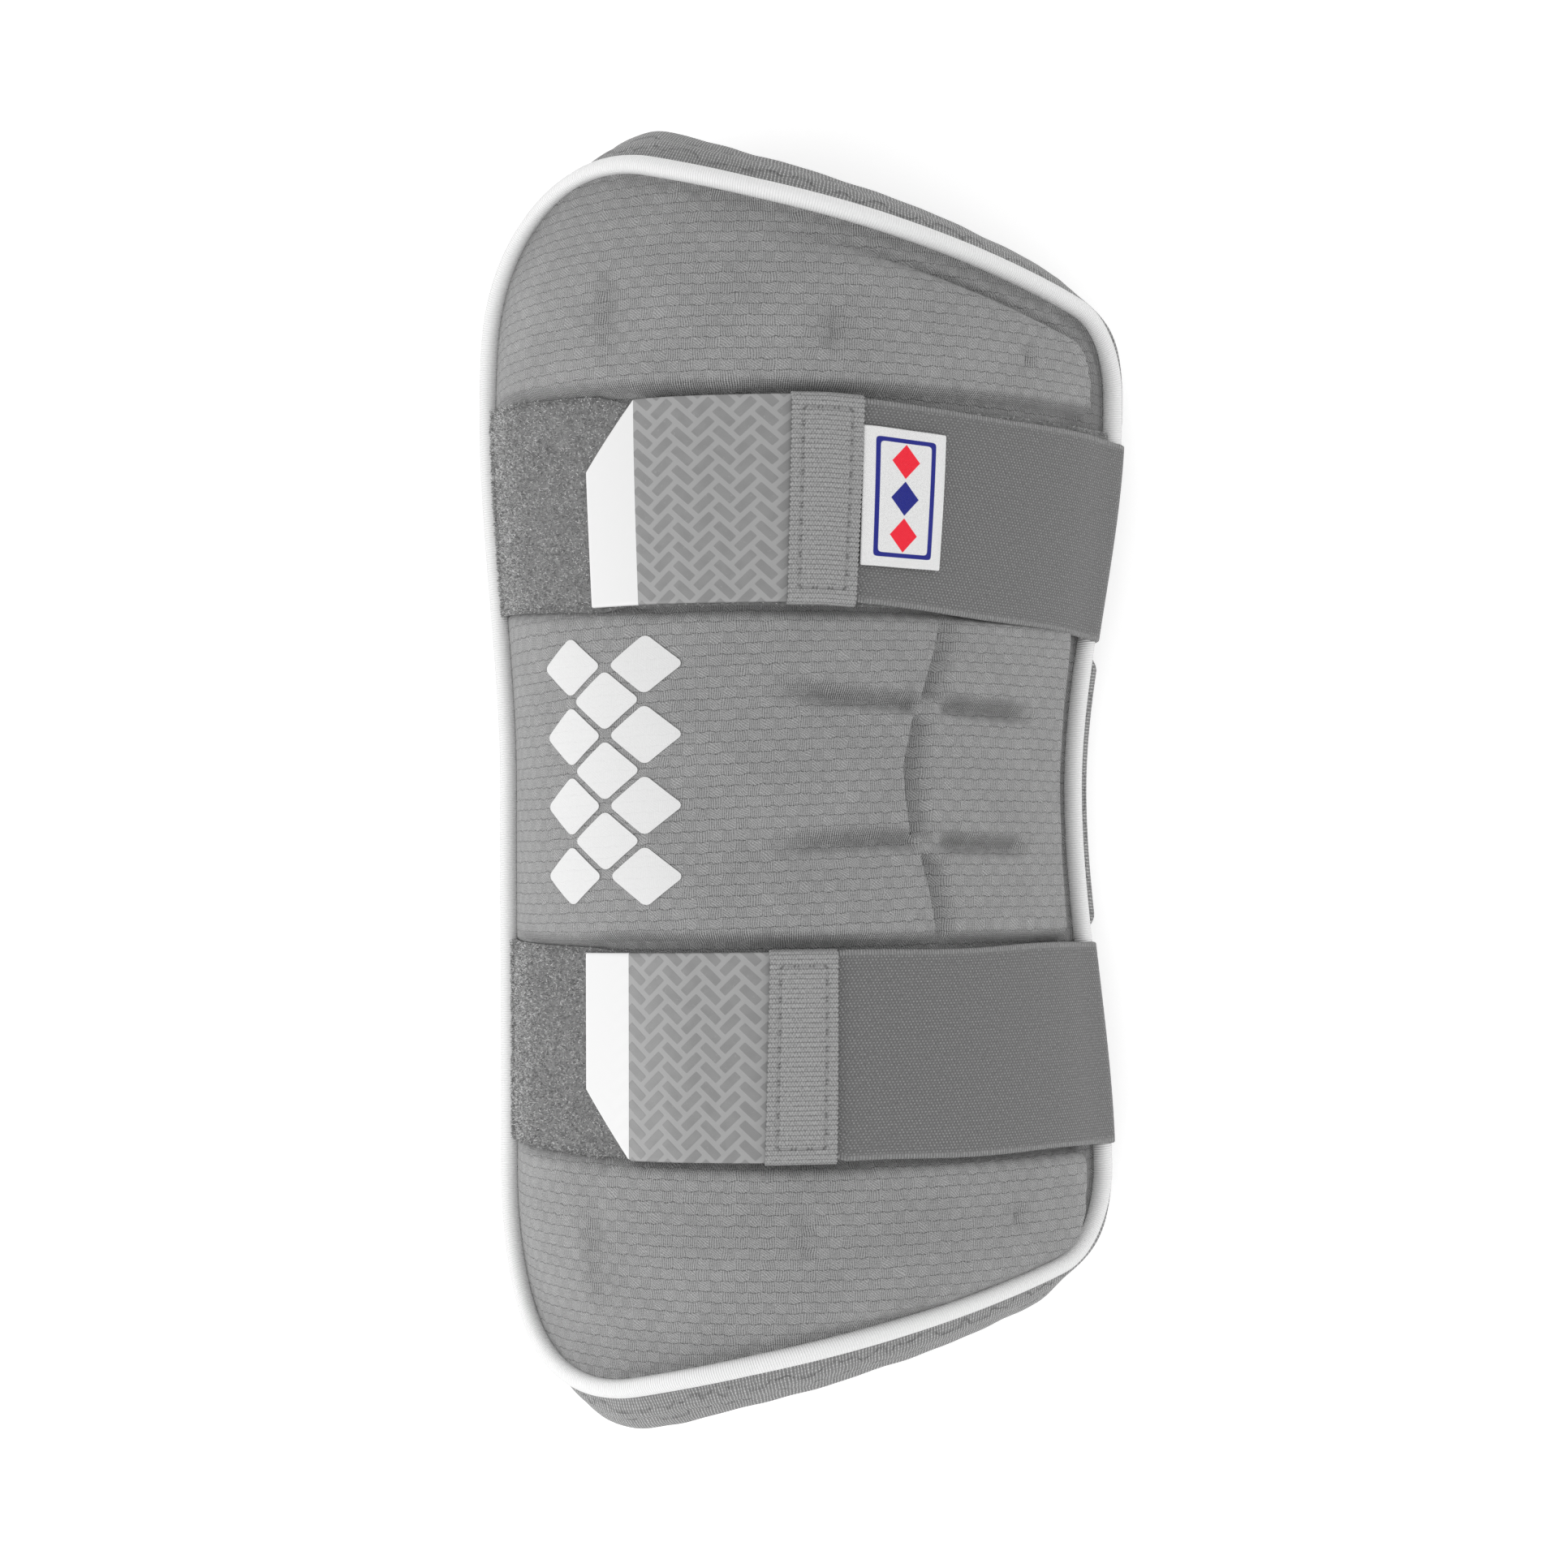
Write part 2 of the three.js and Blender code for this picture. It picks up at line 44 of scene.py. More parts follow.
# The front face is laid out flat first: arc across from the crown line, y along, lift square to the face.
arch = {
    "rows": [(-94, -75), (-73, -61), (-49, -44), (-25, -24), (0, 0),
             (29, 22), (54, 34), (78, 43), (94, 51), (104, 46)],  # arc, tilt in degrees
    "taper": [(-145, 0.95, 1.05), (-100, 0.968, 1.035), (0, 0.976, 0.948), (100, 1.063, 1.072),
              (152, 1.066, 1.12)],  # y, left half, right half
    "shoulder": (116, 36, 0.09),  # the left half draws in towards the top: from y, over, by
    "middle": (-14.406, -3.217, 0),  # where the crown line's middle lies in the frame
}
rim = {
    "left": -94,
    "right": 104,
    "top": {"side": 1, "crownY": 146, "slope": -0.25, "leftRadius": 53, "rightRadius": 23},
    "bottom": {"side": -1, "crownY": -140, "slope": 0.22, "leftRadius": 51, "rightRadius": 24},
    "sideFlare": 7,
    "endFlare": (10.5, 11.5),  # top, bottom
    "foot": -12.6,
    "cornerSteps": 48,
}
straps = {
    "upper": {"y": 69.5, "slope": -0.053, "halves": (25.0, 25.8), "sleeveArc": 15.4, "lean": 0.01,
              "tipArc": -40.5, "chamferSide": 1, "tabSlope": 0.004,
              "channelY": 68.5, "bandSlope": -0.063, "bandHalf": 26.8},
    "lower": {"y": -65.7, "slope": 0.004, "halves": (25.5, 26.1), "sleeveArc": 10.7, "lean": 0.024,
              "tipArc": -44.1, "chamferSide": -1, "tabSlope": 0.013,
              "channelY": -66, "bandSlope": -0.018, "bandHalf": 25.7},
}  # halves: half the elastic's width at the sleeve and at the right edge
heights = {"floor": 0.4, "patchTop": 2.3, "strap": 3.5, "sleeve": 4.45, "strapAtEdge": 3.2}
sleeveHalf = 8.2


# Sums on arrays of points

def smoothRamp(value, start, stop):
    share = np.clip((value - start) / (stop - start), 0, 1)
    return share * share * (3 - 2 * share)


def mix(a, b, share):
    return a + (b - a) * share


def archTable():
    arcs = np.array([row[0] for row in arch["rows"]], float)
    tilts = np.radians([row[1] for row in arch["rows"]])
    bends = np.diff(tilts) / np.diff(arcs)
    x = np.append(0, np.cumsum(np.diff(np.sin(tilts)) / bends))
    z = np.append(0, np.cumsum(np.diff(np.cos(tilts)) / bends))
    crown = int(np.argmin(np.abs(arcs)))
    return arcs, tilts, bends, x - x[crown], z - z[crown]


archArcs, archTilts, archBends, archX, archZ = archTable()


def section(arc):
    arc = np.asarray(arc, float)
    inside = np.clip(arc, archArcs[0], archArcs[-1])
    row = np.clip(np.searchsorted(archArcs, inside) - 1, 0, len(archBends) - 1)
    tilt = archTilts[row] + archBends[row] * (inside - archArcs[row])
    x = archX[row] + (np.sin(tilt) - np.sin(archTilts[row])) / archBends[row]
    z = archZ[row] + (np.cos(tilt) - np.cos(archTilts[row])) / archBends[row]
    beyond = arc - inside
    return x + beyond * np.cos(tilt), z - beyond * np.sin(tilt), tilt


def taperAt(y, half):
    value = arch["taper"][0][half]
    for before, after in zip(arch["taper"], arch["taper"][1:]):
        value = value + smoothRamp(y, before[0], after[0]) * (after[half] - before[half])
    start, over, by = arch["shoulder"]
    return value - by * np.clip((y - start) / over, 0, 1.3) ** 2.2 * (half == 1)


footZ, footTilt = section(rim["left"] - rim["sideFlare"])[1:]
crownHeight = -(footZ + rim["foot"] * math.cos(footTilt))


def place(arc, y, lift):
    x, z, tilt = section(arc)
    widened = np.where(arc < 0, taperAt(y, 1), taperAt(y, 2)) * x
    spots = [widened + lift * np.sin(tilt), y + 0 * x, crownHeight + z + lift * np.cos(tilt)]
    return np.stack(np.broadcast_arrays(*spots), -1) + arch["middle"]


# Outline of the front face along the piping, counter-clockwise from the lower left corner

def endAngle(end):
    return math.atan2(end["side"], -end["side"] * end["slope"])


def rimCorners():
    top, bottom = rim["top"], rim["bottom"]
    turn = 2 * math.pi
    turns = [
        (bottom, "left", math.pi, endAngle(bottom) + turn),
        (bottom, "right", endAngle(bottom) + turn, turn),
        (top, "right", turn, turn + endAngle(top)),
        (top, "left", turn + endAngle(top), turn + math.pi),
    ]
    corners = []
    for end, side, start, stop in turns:
        radius = end[side + "Radius"]
        arc = rim[side] + (radius if side == "left" else -radius)
        y = end["crownY"] + end["slope"] * arc - end["side"] * radius * math.hypot(1, end["slope"])
        corners.append({"arc": arc, "y": y, "radius": radius, "start": start, "stop": stop})
    return corners


corners = rimCorners()


def rimTable():
    steps = np.linspace(0, 1, rim["cornerSteps"] + 1)
    angle = np.concatenate([mix(c["start"], c["stop"], steps) for c in corners])
    radius = np.repeat([c["radius"] for c in corners], len(steps))
    arc = np.repeat([c["arc"] for c in corners], len(steps)) + radius * np.cos(angle)
    y = np.repeat([c["y"] for c in corners], len(steps)) + radius * np.sin(angle)
    arc, y, angle = np.append(arc, arc[0]), np.append(y, y[0]), np.append(angle, angle[-1])
    run = np.append(0, np.cumsum(np.hypot(np.diff(arc), np.diff(y))))
    marks = [run[i * len(steps) + rim["cornerSteps"] // 2] for i in range(4)]
    return run, arc, y, angle, marks


rimRun, rimArc, rimY, rimAngle, rimMarks = rimTable()
rimLength = rimRun[-1]


def rimAt(run):
    run = np.mod(run, rimLength)
    angle = np.interp(run, rimRun, rimAngle)
    return np.interp(run, rimRun, rimArc), np.interp(run, rimRun, rimY), np.cos(angle), np.sin(angle)


def flareAt(normalY):
    return mix(rim["sideFlare"], np.where(normalY > 0, *rim["endFlare"]), np.abs(normalY))


def rimOut(run, out):
    arc, y, normalArc, normalY = rimAt(run)
    return arc + out * normalArc, y + out * normalY


def insetFromRim(arc, y):
    top, bottom = rim["top"], rim["bottom"]
    toTop = (top["crownY"] + top["slope"] * arc - y) / math.hypot(1, top["slope"])
    toBottom = (y - bottom["crownY"] - bottom["slope"] * arc) / math.hypot(1, bottom["slope"])
    inset = np.minimum.reduce([arc - rim["left"], rim["right"] - arc, toTop, toBottom])
    for corner in corners:
        offArc, offY = arc - corner["arc"], y - corner["y"]
        turned = np.mod(np.arctan2(offY, offArc) - corner["start"], 2 * math.pi)
        inCorner = turned < corner["stop"] - corner["start"]
        inset = np.where(inCorner, corner["radius"] - np.hypot(offArc, offY), inset)
    return inset


def strapShift(strap, arc):
    off = arc - strap["sleeveArc"]
    return np.where(off < 0, strap["tabSlope"], strap["slope"]) * off


def strapLift(strap, arc):
    away = np.abs(arc - strap["sleeveArc"]) - sleeveHalf
    atSleeve = mix(heights["sleeve"], heights["strap"], smoothRamp(away, 0, 13))
    edgeRamp = smoothRamp(arc, rim["right"] - 18, rim["right"] - 4)
    return atSleeve + edgeRamp * (heights["strapAtEdge"] - heights["strap"])


# Mesh helpers

def soloSelect(*pieces):
    bpy.ops.object.select_all(action="DESELECT")
    for piece in pieces:
        piece.select_set(True)
    bpy.context.view_layer.objects.active = pieces[0]


def readPoints(piece):
    points = np.zeros(len(piece.data.vertices) * 3)
    piece.data.vertices.foreach_get("co", points)
    return points.reshape(-1, 3)


def writePoints(piece, points):
    piece.data.vertices.foreach_set("co", np.asarray(points, np.float32).ravel())
    piece.data.update()


def newGrid(name, columns, rows):
    bpy.ops.object.select_all(action="DESELECT")
    bpy.ops.mesh.primitive_grid_add(x_subdivisions=columns, y_subdivisions=rows, size=1, calc_uvs=False)
    piece = bpy.context.object
    piece.name = piece.data.name = name
    share = np.clip(readPoints(piece)[:, :2] + 0.5, 0, 1)
    return piece, share[:, 0], share[:, 1]


def paintUv(piece, u, v):
    layer = piece.data.uv_layers.get("cloth") or piece.data.uv_layers.new(name="cloth")
    corner = np.zeros(len(piece.data.loops), int)
    piece.data.loops.foreach_get("vertex_index", corner)
    spots = np.column_stack([u, v])[corner] * mm
    layer.data.foreach_set("uv", spots.astype(np.float32).ravel())


def paintValue(piece, name, values):
    layer = piece.data.attributes.get(name) or piece.data.attributes.new(name, "FLOAT", "POINT")
    layer.data.foreach_set("value", np.asarray(values, np.float32))


def closeSeams(piece):
    soloSelect(piece)
    bpy.ops.object.mode_set(mode="EDIT")
    bpy.ops.mesh.select_all(action="SELECT")
    bpy.ops.mesh.remove_doubles(threshold=0.005 * mm)
    bpy.ops.mesh.normals_make_consistent(inside=False)
    bpy.ops.object.mode_set(mode="OBJECT")


def applyModifier(piece, kind, **settings):
    soloSelect(piece)
    modifier = piece.modifiers.new(kind.title(), kind)
    for key, value in settings.items():
        setattr(modifier, key, value)
    bpy.ops.object.modifier_apply(modifier=modifier.name)


def bevelRims(piece, width, segments):
    applyModifier(piece, "BEVEL", width=width * mm, segments=segments, limit_method="ANGLE",
                  angle_limit=math.radians(60))


def joinPieces(first, *others):
    soloSelect(first, *others)
    bpy.ops.object.join()
    return first


def bendPiece(piece):
    flat = readPoints(piece) / mm
    writePoints(piece, place(flat[:, 0], flat[:, 1], flat[:, 2]) * mm)


def finishPiece(piece, slot, nodes, *materials):
    soloSelect(piece)
    bpy.ops.object.shade_smooth_by_angle(angle=math.radians(50))
    for material in materials:
        piece.data.materials.append(material)
    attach(piece, "root")
    if nodes:
        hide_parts(*nodes)
    print("made", piece.name, len(piece.data.polygons), "faces")


def meshFromArrays(name, points, faces):
    mesh = bpy.data.meshes.new(name)
    mesh.from_pydata((points * mm).tolist(), [], faces)
    piece = bpy.data.objects.new(name, mesh)
    bpy.context.scene.collection.objects.link(piece)
    return piece


# Many thin tubes in one mesh: paths is tubes x rings x 3, radii is tubes x rings
def tubesMesh(name, paths, radii, sides):
    count, rings = radii.shape
    along = np.gradient(paths, axis=1)
    along /= np.linalg.norm(along, axis=2, keepdims=True)
    across = np.cross(along, np.broadcast_to([0.13, 0.31, 0.94], along.shape))
    across /= np.linalg.norm(across, axis=2, keepdims=True)
    third = np.cross(along, across)
    points = []
    for turn in np.arange(sides) * 2 * math.pi / sides:
        points.append(paths + radii[..., None] * (math.cos(turn) * across + math.sin(turn) * third))
    points = np.stack(points, 2).reshape(-1, 3)
    faces = []
    for base in range(0, count * rings * sides, rings * sides):
        for ring in range(base, base + (rings - 1) * sides, sides):
            for k in range(sides):
                n = (k + 1) % sides
                faces.append((ring + k, ring + n, ring + sides + n, ring + sides + k))
        faces.append(tuple(range(base + sides - 1, base - 1, -1)))
        last = base + (rings - 1) * sides
        faces.append(tuple(range(last, last + sides)))
    return meshFromArrays(name, points, faces)


# Shader helpers

def tone(value):
    share = value / 255
    linear = ((share + 0.055) / 1.055) ** 2.4
    return (linear, linear, linear, 1)


def plug(tree, value, socket):
    if isinstance(value, bpy.types.NodeSocket):
        tree.links.new(value, socket)
    else:
        socket.default_value = value


def addNode(tree, kind, inputs, **settings):
    made = tree.nodes.new("ShaderNode" + kind)
    for key, value in settings.items():
        setattr(made, key, value)
    for key, value in inputs.items():
        plug(tree, value, made.inputs[key])
    return made


def calc(tree, operation, *values):
    return addNode(tree, "Math", dict(enumerate(values)), operation=operation).outputs[0]


def ramp(tree, value, start, stop, low=0.0, high=1.0):
    inputs = {"Value": value, "From Min": start, "From Max": stop, "To Min": low, "To Max": high}
    return addNode(tree, "MapRange", inputs, interpolation_type="SMOOTHSTEP").outputs[0]


def blendTones(tree, share, first, second):
    return addNode(tree, "Mix", {0: share, 6: first, 7: second}, data_type="RGBA").outputs[2]


def noise(tree, vector, scale, detail=2.0, roughness=0.5):
    inputs = {"Vector": vector, "Scale": scale, "Detail": detail, "Roughness": roughness}
    return addNode(tree, "TexNoise", inputs).outputs[0]


def wave(tree, position, pitch):
    turned = calc(tree, "MULTIPLY", calc(tree, "DIVIDE", position, pitch), 2 * math.pi)
    return calc(tree, "MULTIPLY_ADD", calc(tree, "COSINE", turned), 0.5, 0.5)


def newGroup(name, inputs, outputs):
    tree = bpy.data.node_groups.new(name, "ShaderNodeTree")
    for socket, kind in inputs:
        tree.interface.new_socket(socket, in_out="INPUT", socket_type="NodeSocket" + kind)
    for socket in outputs:
        tree.interface.new_socket(socket, in_out="OUTPUT", socket_type="NodeSocketFloat")
    given = tree.nodes.new("NodeGroupInput").outputs
    result = tree.nodes.new("NodeGroupOutput").inputs
    return tree, given, result


def useGroup(tree, group, inputs):
    made = tree.nodes.new("ShaderNodeGroup")
    made.node_tree = group
    for key, value in inputs.items():
        plug(tree, value, made.inputs[key])
    return made.outputs


# Loose fibres and slow unevenness that every cloth here has
def makeFibreMottle():
    tree, given, result = newGroup(
        "fibreMottle", [("Spot", "Vector"), ("Fineness", "Float")], ["Fibres", "Cloud"])
    stretched = addNode(tree, "Mapping", {"Vector": given["Spot"], "Scale": (1.0, 0.45, 1.0)}).outputs[0]
    tree.links.new(noise(tree, stretched, given["Fineness"], 3.0, 0.65), result["Fibres"])
    tree.links.new(noise(tree, given["Spot"], 0.07, 3.0, 0.6), result["Cloud"])
    return tree


# Short threads lying in rows, each row moved along a little from the last
def makeDashRows():
    tree, given, result = newGroup(
        "dashRows",
        [("Along", "Float"), ("Across", "Float"), ("Pitch", "Float"), ("RowPitch", "Float"),
         ("Share", "Float"), ("RowShift", "Float")],
        ["Dash", "Row"])
    rows = calc(tree, "DIVIDE", given["Across"], given["RowPitch"])
    row = calc(tree, "FLOOR", rows)
    steps = calc(tree, "DIVIDE", given["Along"], given["Pitch"])
    moved = calc(tree, "MULTIPLY_ADD", row, given["RowShift"], steps)
    offEnd = calc(tree, "ABSOLUTE", calc(tree, "SUBTRACT", calc(tree, "FRACT", moved), 0.5))
    offRow = calc(tree, "ABSOLUTE", calc(tree, "SUBTRACT", calc(tree, "FRACT", rows), 0.5))
    half = calc(tree, "MULTIPLY", given["Share"], 0.5)
    lengthwise = ramp(tree, calc(tree, "SUBTRACT", offEnd, half), -0.08, 0.08, 1.0, 0.0)
    crosswise = ramp(tree, offRow, 0.12, 0.46, 1.0, 0.0)
    tree.links.new(calc(tree, "MULTIPLY", lengthwise, crosswise), result["Dash"])
    tree.links.new(crosswise, result["Row"])
    return tree


fibreMottle = makeFibreMottle()
dashRows = makeDashRows()


def newMaterial(name):
    material = bpy.data.materials.new(name)
    material.use_nodes = True
    return material, material.node_tree


# Layout coordinates in millimetres from the piece's own map
def clothSpot(tree):
    uv = addNode(tree, "UVMap", {}, uv_map="cloth").outputs[0]
    spot = addNode(tree, "VectorMath", {0: uv, 1: (1000, 1000, 1000)}, operation="MULTIPLY").outputs[0]
    parts = addNode(tree, "SeparateXYZ", {0: spot}).outputs
    return spot, parts[0], parts[1]


def attribute(tree, name):
    return addNode(tree, "Attribute", {}, attribute_name=name).outputs["Fac"]


def setSurface(tree, colour, height, depth, roughness, sheen=0.0, specular=0.3):
    surface = tree.nodes["Principled BSDF"]
    plug(tree, colour, surface.inputs["Base Color"])
    plug(tree, roughness, surface.inputs["Roughness"])
    surface.inputs["Specular IOR Level"].default_value = specular
    surface.inputs["Sheen Weight"].default_value = sheen
    bump = addNode(tree, "Bump", {"Strength": 1.0, "Distance": depth * mm, "Height": height})
    tree.links.new(bump.outputs[0], surface.inputs["Normal"])


# The padded body
pad = {
    "columns": 156, "rows": 300,
    "columnFocus": [(43, 9, 1.3), (98, 6, 1.0), (-5, 9, 0.6)],  # arc, half width, extra columns there
    "inset": 2.25,
    "foam": 4.6,
    "shoulder": (40, 3.4),  # width of the slope down to the piping at the left and at the right
    "shoulderChange": (-60, 50), "topZone": (100, 130),
    "flange": 1.2, "flangeAtTop": 6.6, "rightFlange": 9.4, "cornerRound": 13,
    "leftTuck": (1.3, 20), "rightTuck": (0.5, 8), "tuckFade": (-80, -40),  # depth, reach
    "channelHalf": (25.4, 26.5), "channelRamp": (3.2, 4.2), "rimRoll": (0.1, 0.2),  # below and above a strap
    "rollSpot": (4.8, 2.6), "lowRim": (0.24, 6), "bandOverlap": 0.8,
    "bandDrop": (2.1, -92, -64),  # the loop bands lie deeper beside the left piping: drop, from arc, to arc
    "sewnDitch": (3.6, 1.5, 0.7), "ditchAtLeft": 0.45,  # beside the piping: inset, half width, depth
    "wall": [(0, -2.2, -2.7), (0.55, -1.5, -6.8), (1, -2.5, -10.2)],  # share of flare, out, lift
    "backRow": (1, -2.2, -12),
    "crossGrooves": [
        {"line": [(-6, 24.4), (0, 23.5), (18, 20.6), (37, 19.5), (52, 18.9), (80, 17.5)]},
        {"line": [(-6, -18.2), (-3, -17.5), (12, -15), (31, -14), (52, -15), (80, -16)]},
    ],  # arc, y
    "crossReach": (-5, 20, 71, 80), "crossing": 44.5, "crossDepth": 2.9, "crossWalls": (4.4, 2.4),
    "longGroove": [(-40, 47.6), (-34, 47), (-26, 45.8), (-18, 43.8), (-14, 41.6), (-9, 40.4), (-2, 39.5),
                   (5, 39), (11, 40.2), (16, 41), (20, 42.6), (24, 44), (34, 46.5), (42, 47.6)],  # y, arc
    "longDepth": 3.7, "longWalls": (1.8, 6.5), "longReach": (2, 36, 42),  # middle y, full, faded out
    "topCrease": (8.2, 0.8, 1.2),  # beside the upper piping: inset, half width, depth
    "creaseReach": (-5, 30, 76, 90),
    "dents": [(-33.5, 117, 12, 2.6, 1.0), (16.5, 111.5, 6, 1.6, 1.5), (66.5, 108.5, 3.5, 1.2, 1.3),
              (-40.5, -114, 13, 3, 1.0), (11, -108.5, 6, 2.0, 1.3), (65, -107, 3.5, 1.4, 1.3)],
    # arc, y, half length, half width, depth
    "besideEmblem": (0.4, -5, 6, 1.9),  # ripples: height, middle arc, half width, length
    "underTopRim": (0.28, 2, 34, 1.6129), "allOver": 0.12,
    "swellGrid": (80, 120), "swellMost": 1.5, "swellFrames": 20, "swellPressure": 4,
    "paintedShadeReach": (14, 26),  # how far from the right edge the painted shade on the sunk strip is darker
}


# Moves the columns closer together where the cover has fine shapes
def columnShare(s):
    shares = np.linspace(0, 1, 400)
    arcs = mix(rim["left"], rim["right"], shares)
    density = np.ones_like(arcs)
    for spot, half, extra in pad["columnFocus"]:
        density = density + extra * np.exp(-((arcs - spot) / half) ** 2)
    reached = np.append(0, np.cumsum(density[1:] + density[:-1]))
    return np.interp(s, reached / reached[-1], shares)


# A patch of the layout between the four sides of an edge that runs beside the rim
def padSpots(s, t, edge):
    bottomLeft, bottomRight, topRight, topLeft = rimMarks
    low, high = edge(mix(bottomLeft, bottomRight, s)), edge(mix(topLeft, topRight, s))
    left, right = edge(mix(bottomLeft + rimLength, topLeft, t)), edge(mix(bottomRight, topRight, t))
    lowLeft, lowRight, highRight, highLeft = (edge(np.array(mark)) for mark in rimMarks)
    spots = []
    for k in range(2):
        square = mix(mix(lowLeft[k], lowRight[k], s), mix(highLeft[k], highRight[k], s), t)
        spots.append(mix(low[k], high[k], t) + mix(left[k], right[k], s) - square)
    return spots


def frontEdge(run):
    leftness = np.clip(-rimAt(run)[2], 0, 1)
    return rimOut(run, 0.6 * leftness ** 2 - pad["inset"])


def backEdge(run):
    share, out = pad["backRow"][:2]
    return rimOut(run, out + share * flareAt(rimAt(run)[3]))


def grooveLine(rows, at):
    table = np.array(rows, float)
    return np.interp(at, table[:, 0], table[:, 1])


def fadeBothWays(value, start, full, fading, stop):
    return smoothRamp(value, start, full) * (1 - smoothRamp(value, fading, stop))


# 1 near the upper rim, 0 further down
def topness(arc, y):
    return smoothRamp(y - rim["top"]["slope"] * arc, *pad["topZone"])


def crossGroove(arc, y, groove):
    off = y - grooveLine(groove["line"], arc)
    upper, lower = pad["crossWalls"]
    along = fadeBothWays(arc, *pad["crossReach"])
    along = along * mix(0.25, 1, smoothRamp(np.abs(arc - pad["crossing"]), 2, 6))
    wall = np.where(off > 0, 1 - smoothRamp(off, 0, upper), 1 - smoothRamp(-off, 0, lower))
    return along * wall, off, along


def longGroove(arc, y):
    off = arc - grooveLine(pad["longGroove"], y)
    left, right = pad["longWalls"]
    wall = np.where(off > 0, 1 - smoothRamp(off, -1, right), 1 - smoothRamp(-off, 0, left))
    middle, full, stop = pad["longReach"]
    along = 1 - smoothRamp(np.abs(y - middle), full, stop)
    for groove in pad["crossGrooves"]:
        along = along * smoothRamp(np.abs(y - grooveLine(groove["line"], arc)), 0.5, 4)
    return along * wall


# The channels rise a little towards the left
def bandShift(strap, arc):
    return strap["channelY"] - strap["y"] + strap["bandSlope"] * np.minimum(arc + 22, 0)


# How far a spot lies outside a channel, and whether it lies above or below it
def channelAway(strap, arc, y):
    off = y - strap["y"] - bandShift(strap, arc)
    above = (off > 0).astype(int)
    half = np.choose(above, pad["channelHalf"])
    underTab = smoothRamp(arc, strap["tipArc"] - 4, strap["tipArc"] + 12)
    half = mix(strap["bandHalf"] - pad["bandOverlap"], half, underTab)
    return np.abs(off) - half, above


def foamShare(arc, y):
    rightness = smoothRamp(arc, *pad["shoulderChange"])
    flange = (pad["flange"] + pad["flangeAtTop"] * topness(arc, y)) * rightness
    left, right = pad["shoulder"]
    fromEnd = insetFromRim(arc, y) - flange
    fromRight = rim["right"] - arc - pad["rightFlange"]
    rounded = pad["cornerRound"]
    offCorner = np.hypot(np.clip(rounded - fromEnd, 0, None), np.clip(rounded - fromRight, 0, None))
    inside = rounded - offCorner + np.clip(np.minimum(fromEnd, fromRight) - rounded, 0, None)
    foam = smoothRamp(inside, 0, mix(left, right, rightness))
    for strap in straps.values():
        away, above = channelAway(strap, arc, y)
        foam = foam * smoothRamp(away, 0, np.choose(above, pad["channelRamp"])) ** 0.8
        lower, over = pad["lowRim"]
        foam = foam * (1 - lower * np.exp(-np.clip(away, 0, None) / over))
    return foam


def bandDrop(arc):
    drop, start, stop = pad["bandDrop"]
    return drop * (1 - smoothRamp(arc, start, stop))


def channelFloor(arc, y):
    lift = 0
    for strap in straps.values():
        lift = lift - bandDrop(arc) * (1 - smoothRamp(channelAway(strap, arc, y)[0], -0.6, 1.6))
    return lift


def padLift(arc, y, swell):
    foam = foamShare(arc, y)
    grooves = pad["longDepth"] * longGroove(arc, y)
    for groove in pad["crossGrooves"]:
        grooves = np.maximum(grooves, pad["crossDepth"] * crossGroove(arc, y, groove)[0])
    lift = heights["floor"] + foam * (pad["foam"] - grooves) + swell + channelFloor(arc, y)
    spot, half, depth = pad["sewnDitch"]
    rightness = mix(pad["ditchAtLeft"], 1, smoothRamp(arc, *pad["shoulderChange"]))
    inset = insetFromRim(arc, y)
    lift = lift - depth * rightness * np.exp(-((inset - spot) / half) ** 2)
    tuck, reach = pad["leftTuck"]
    lift = lift - tuck * (1 - smoothRamp(inset, 0, reach)) * (1 - smoothRamp(arc, *pad["tuckFade"]))
    tuck, reach = pad["rightTuck"]
    lift = lift - tuck * (1 - smoothRamp(rim["right"] - arc, 1.5, reach))
    spot, half = pad["rollSpot"]
    for strap in straps.values():
        away, above = channelAway(strap, arc, y)
        lift = lift + foam * np.choose(above, pad["rimRoll"]) * np.exp(-((away - spot) / half) ** 2)
    spot, half, depth = pad["topCrease"]
    along = fadeBothWays(arc, *pad["creaseReach"]) * topness(arc, y)
    lift = lift - depth * along * np.exp(-((inset - spot) / half) ** 2)
    for dentArc, dentY, halfLength, halfWidth, depth in pad["dents"]:
        off = arc - dentArc
        halfWidths = np.where(off < 0, 0.7 * halfWidth, 1.6 * halfWidth)
        lift = lift - depth * np.exp(-(off / halfWidths) ** 2 - ((y - dentY) / halfLength) ** 4)
    return lift + foam * padRipples(arc, y)


# Soft ripples: beside the emblem, under the top rim, and a little all over
def padRipples(arc, y):
    inMiddle = 1 - smoothRamp(np.abs(y), 24, 38)
    height, middle, half, length = pad["besideEmblem"]
    beside = height * inMiddle * np.cos((arc - middle) / length) * np.exp(-((arc - middle) / half) ** 2)
    nearTop = np.exp(-((insetFromRim(arc, y) - 9) / 7) ** 2) * smoothRamp(y, 95, 125)
    height, middle, half, length = pad["underTopRim"]
    top = height * nearTop * np.sin(arc / length + 0.05 * y) * np.exp(-((arc - middle) / half) ** 2)
    allOver = pad["allOver"] * np.sin(0.21 * arc + 0.13 * y) * np.sin(0.17 * y - 0.09 * arc + 1)
    return beside + top + allOver


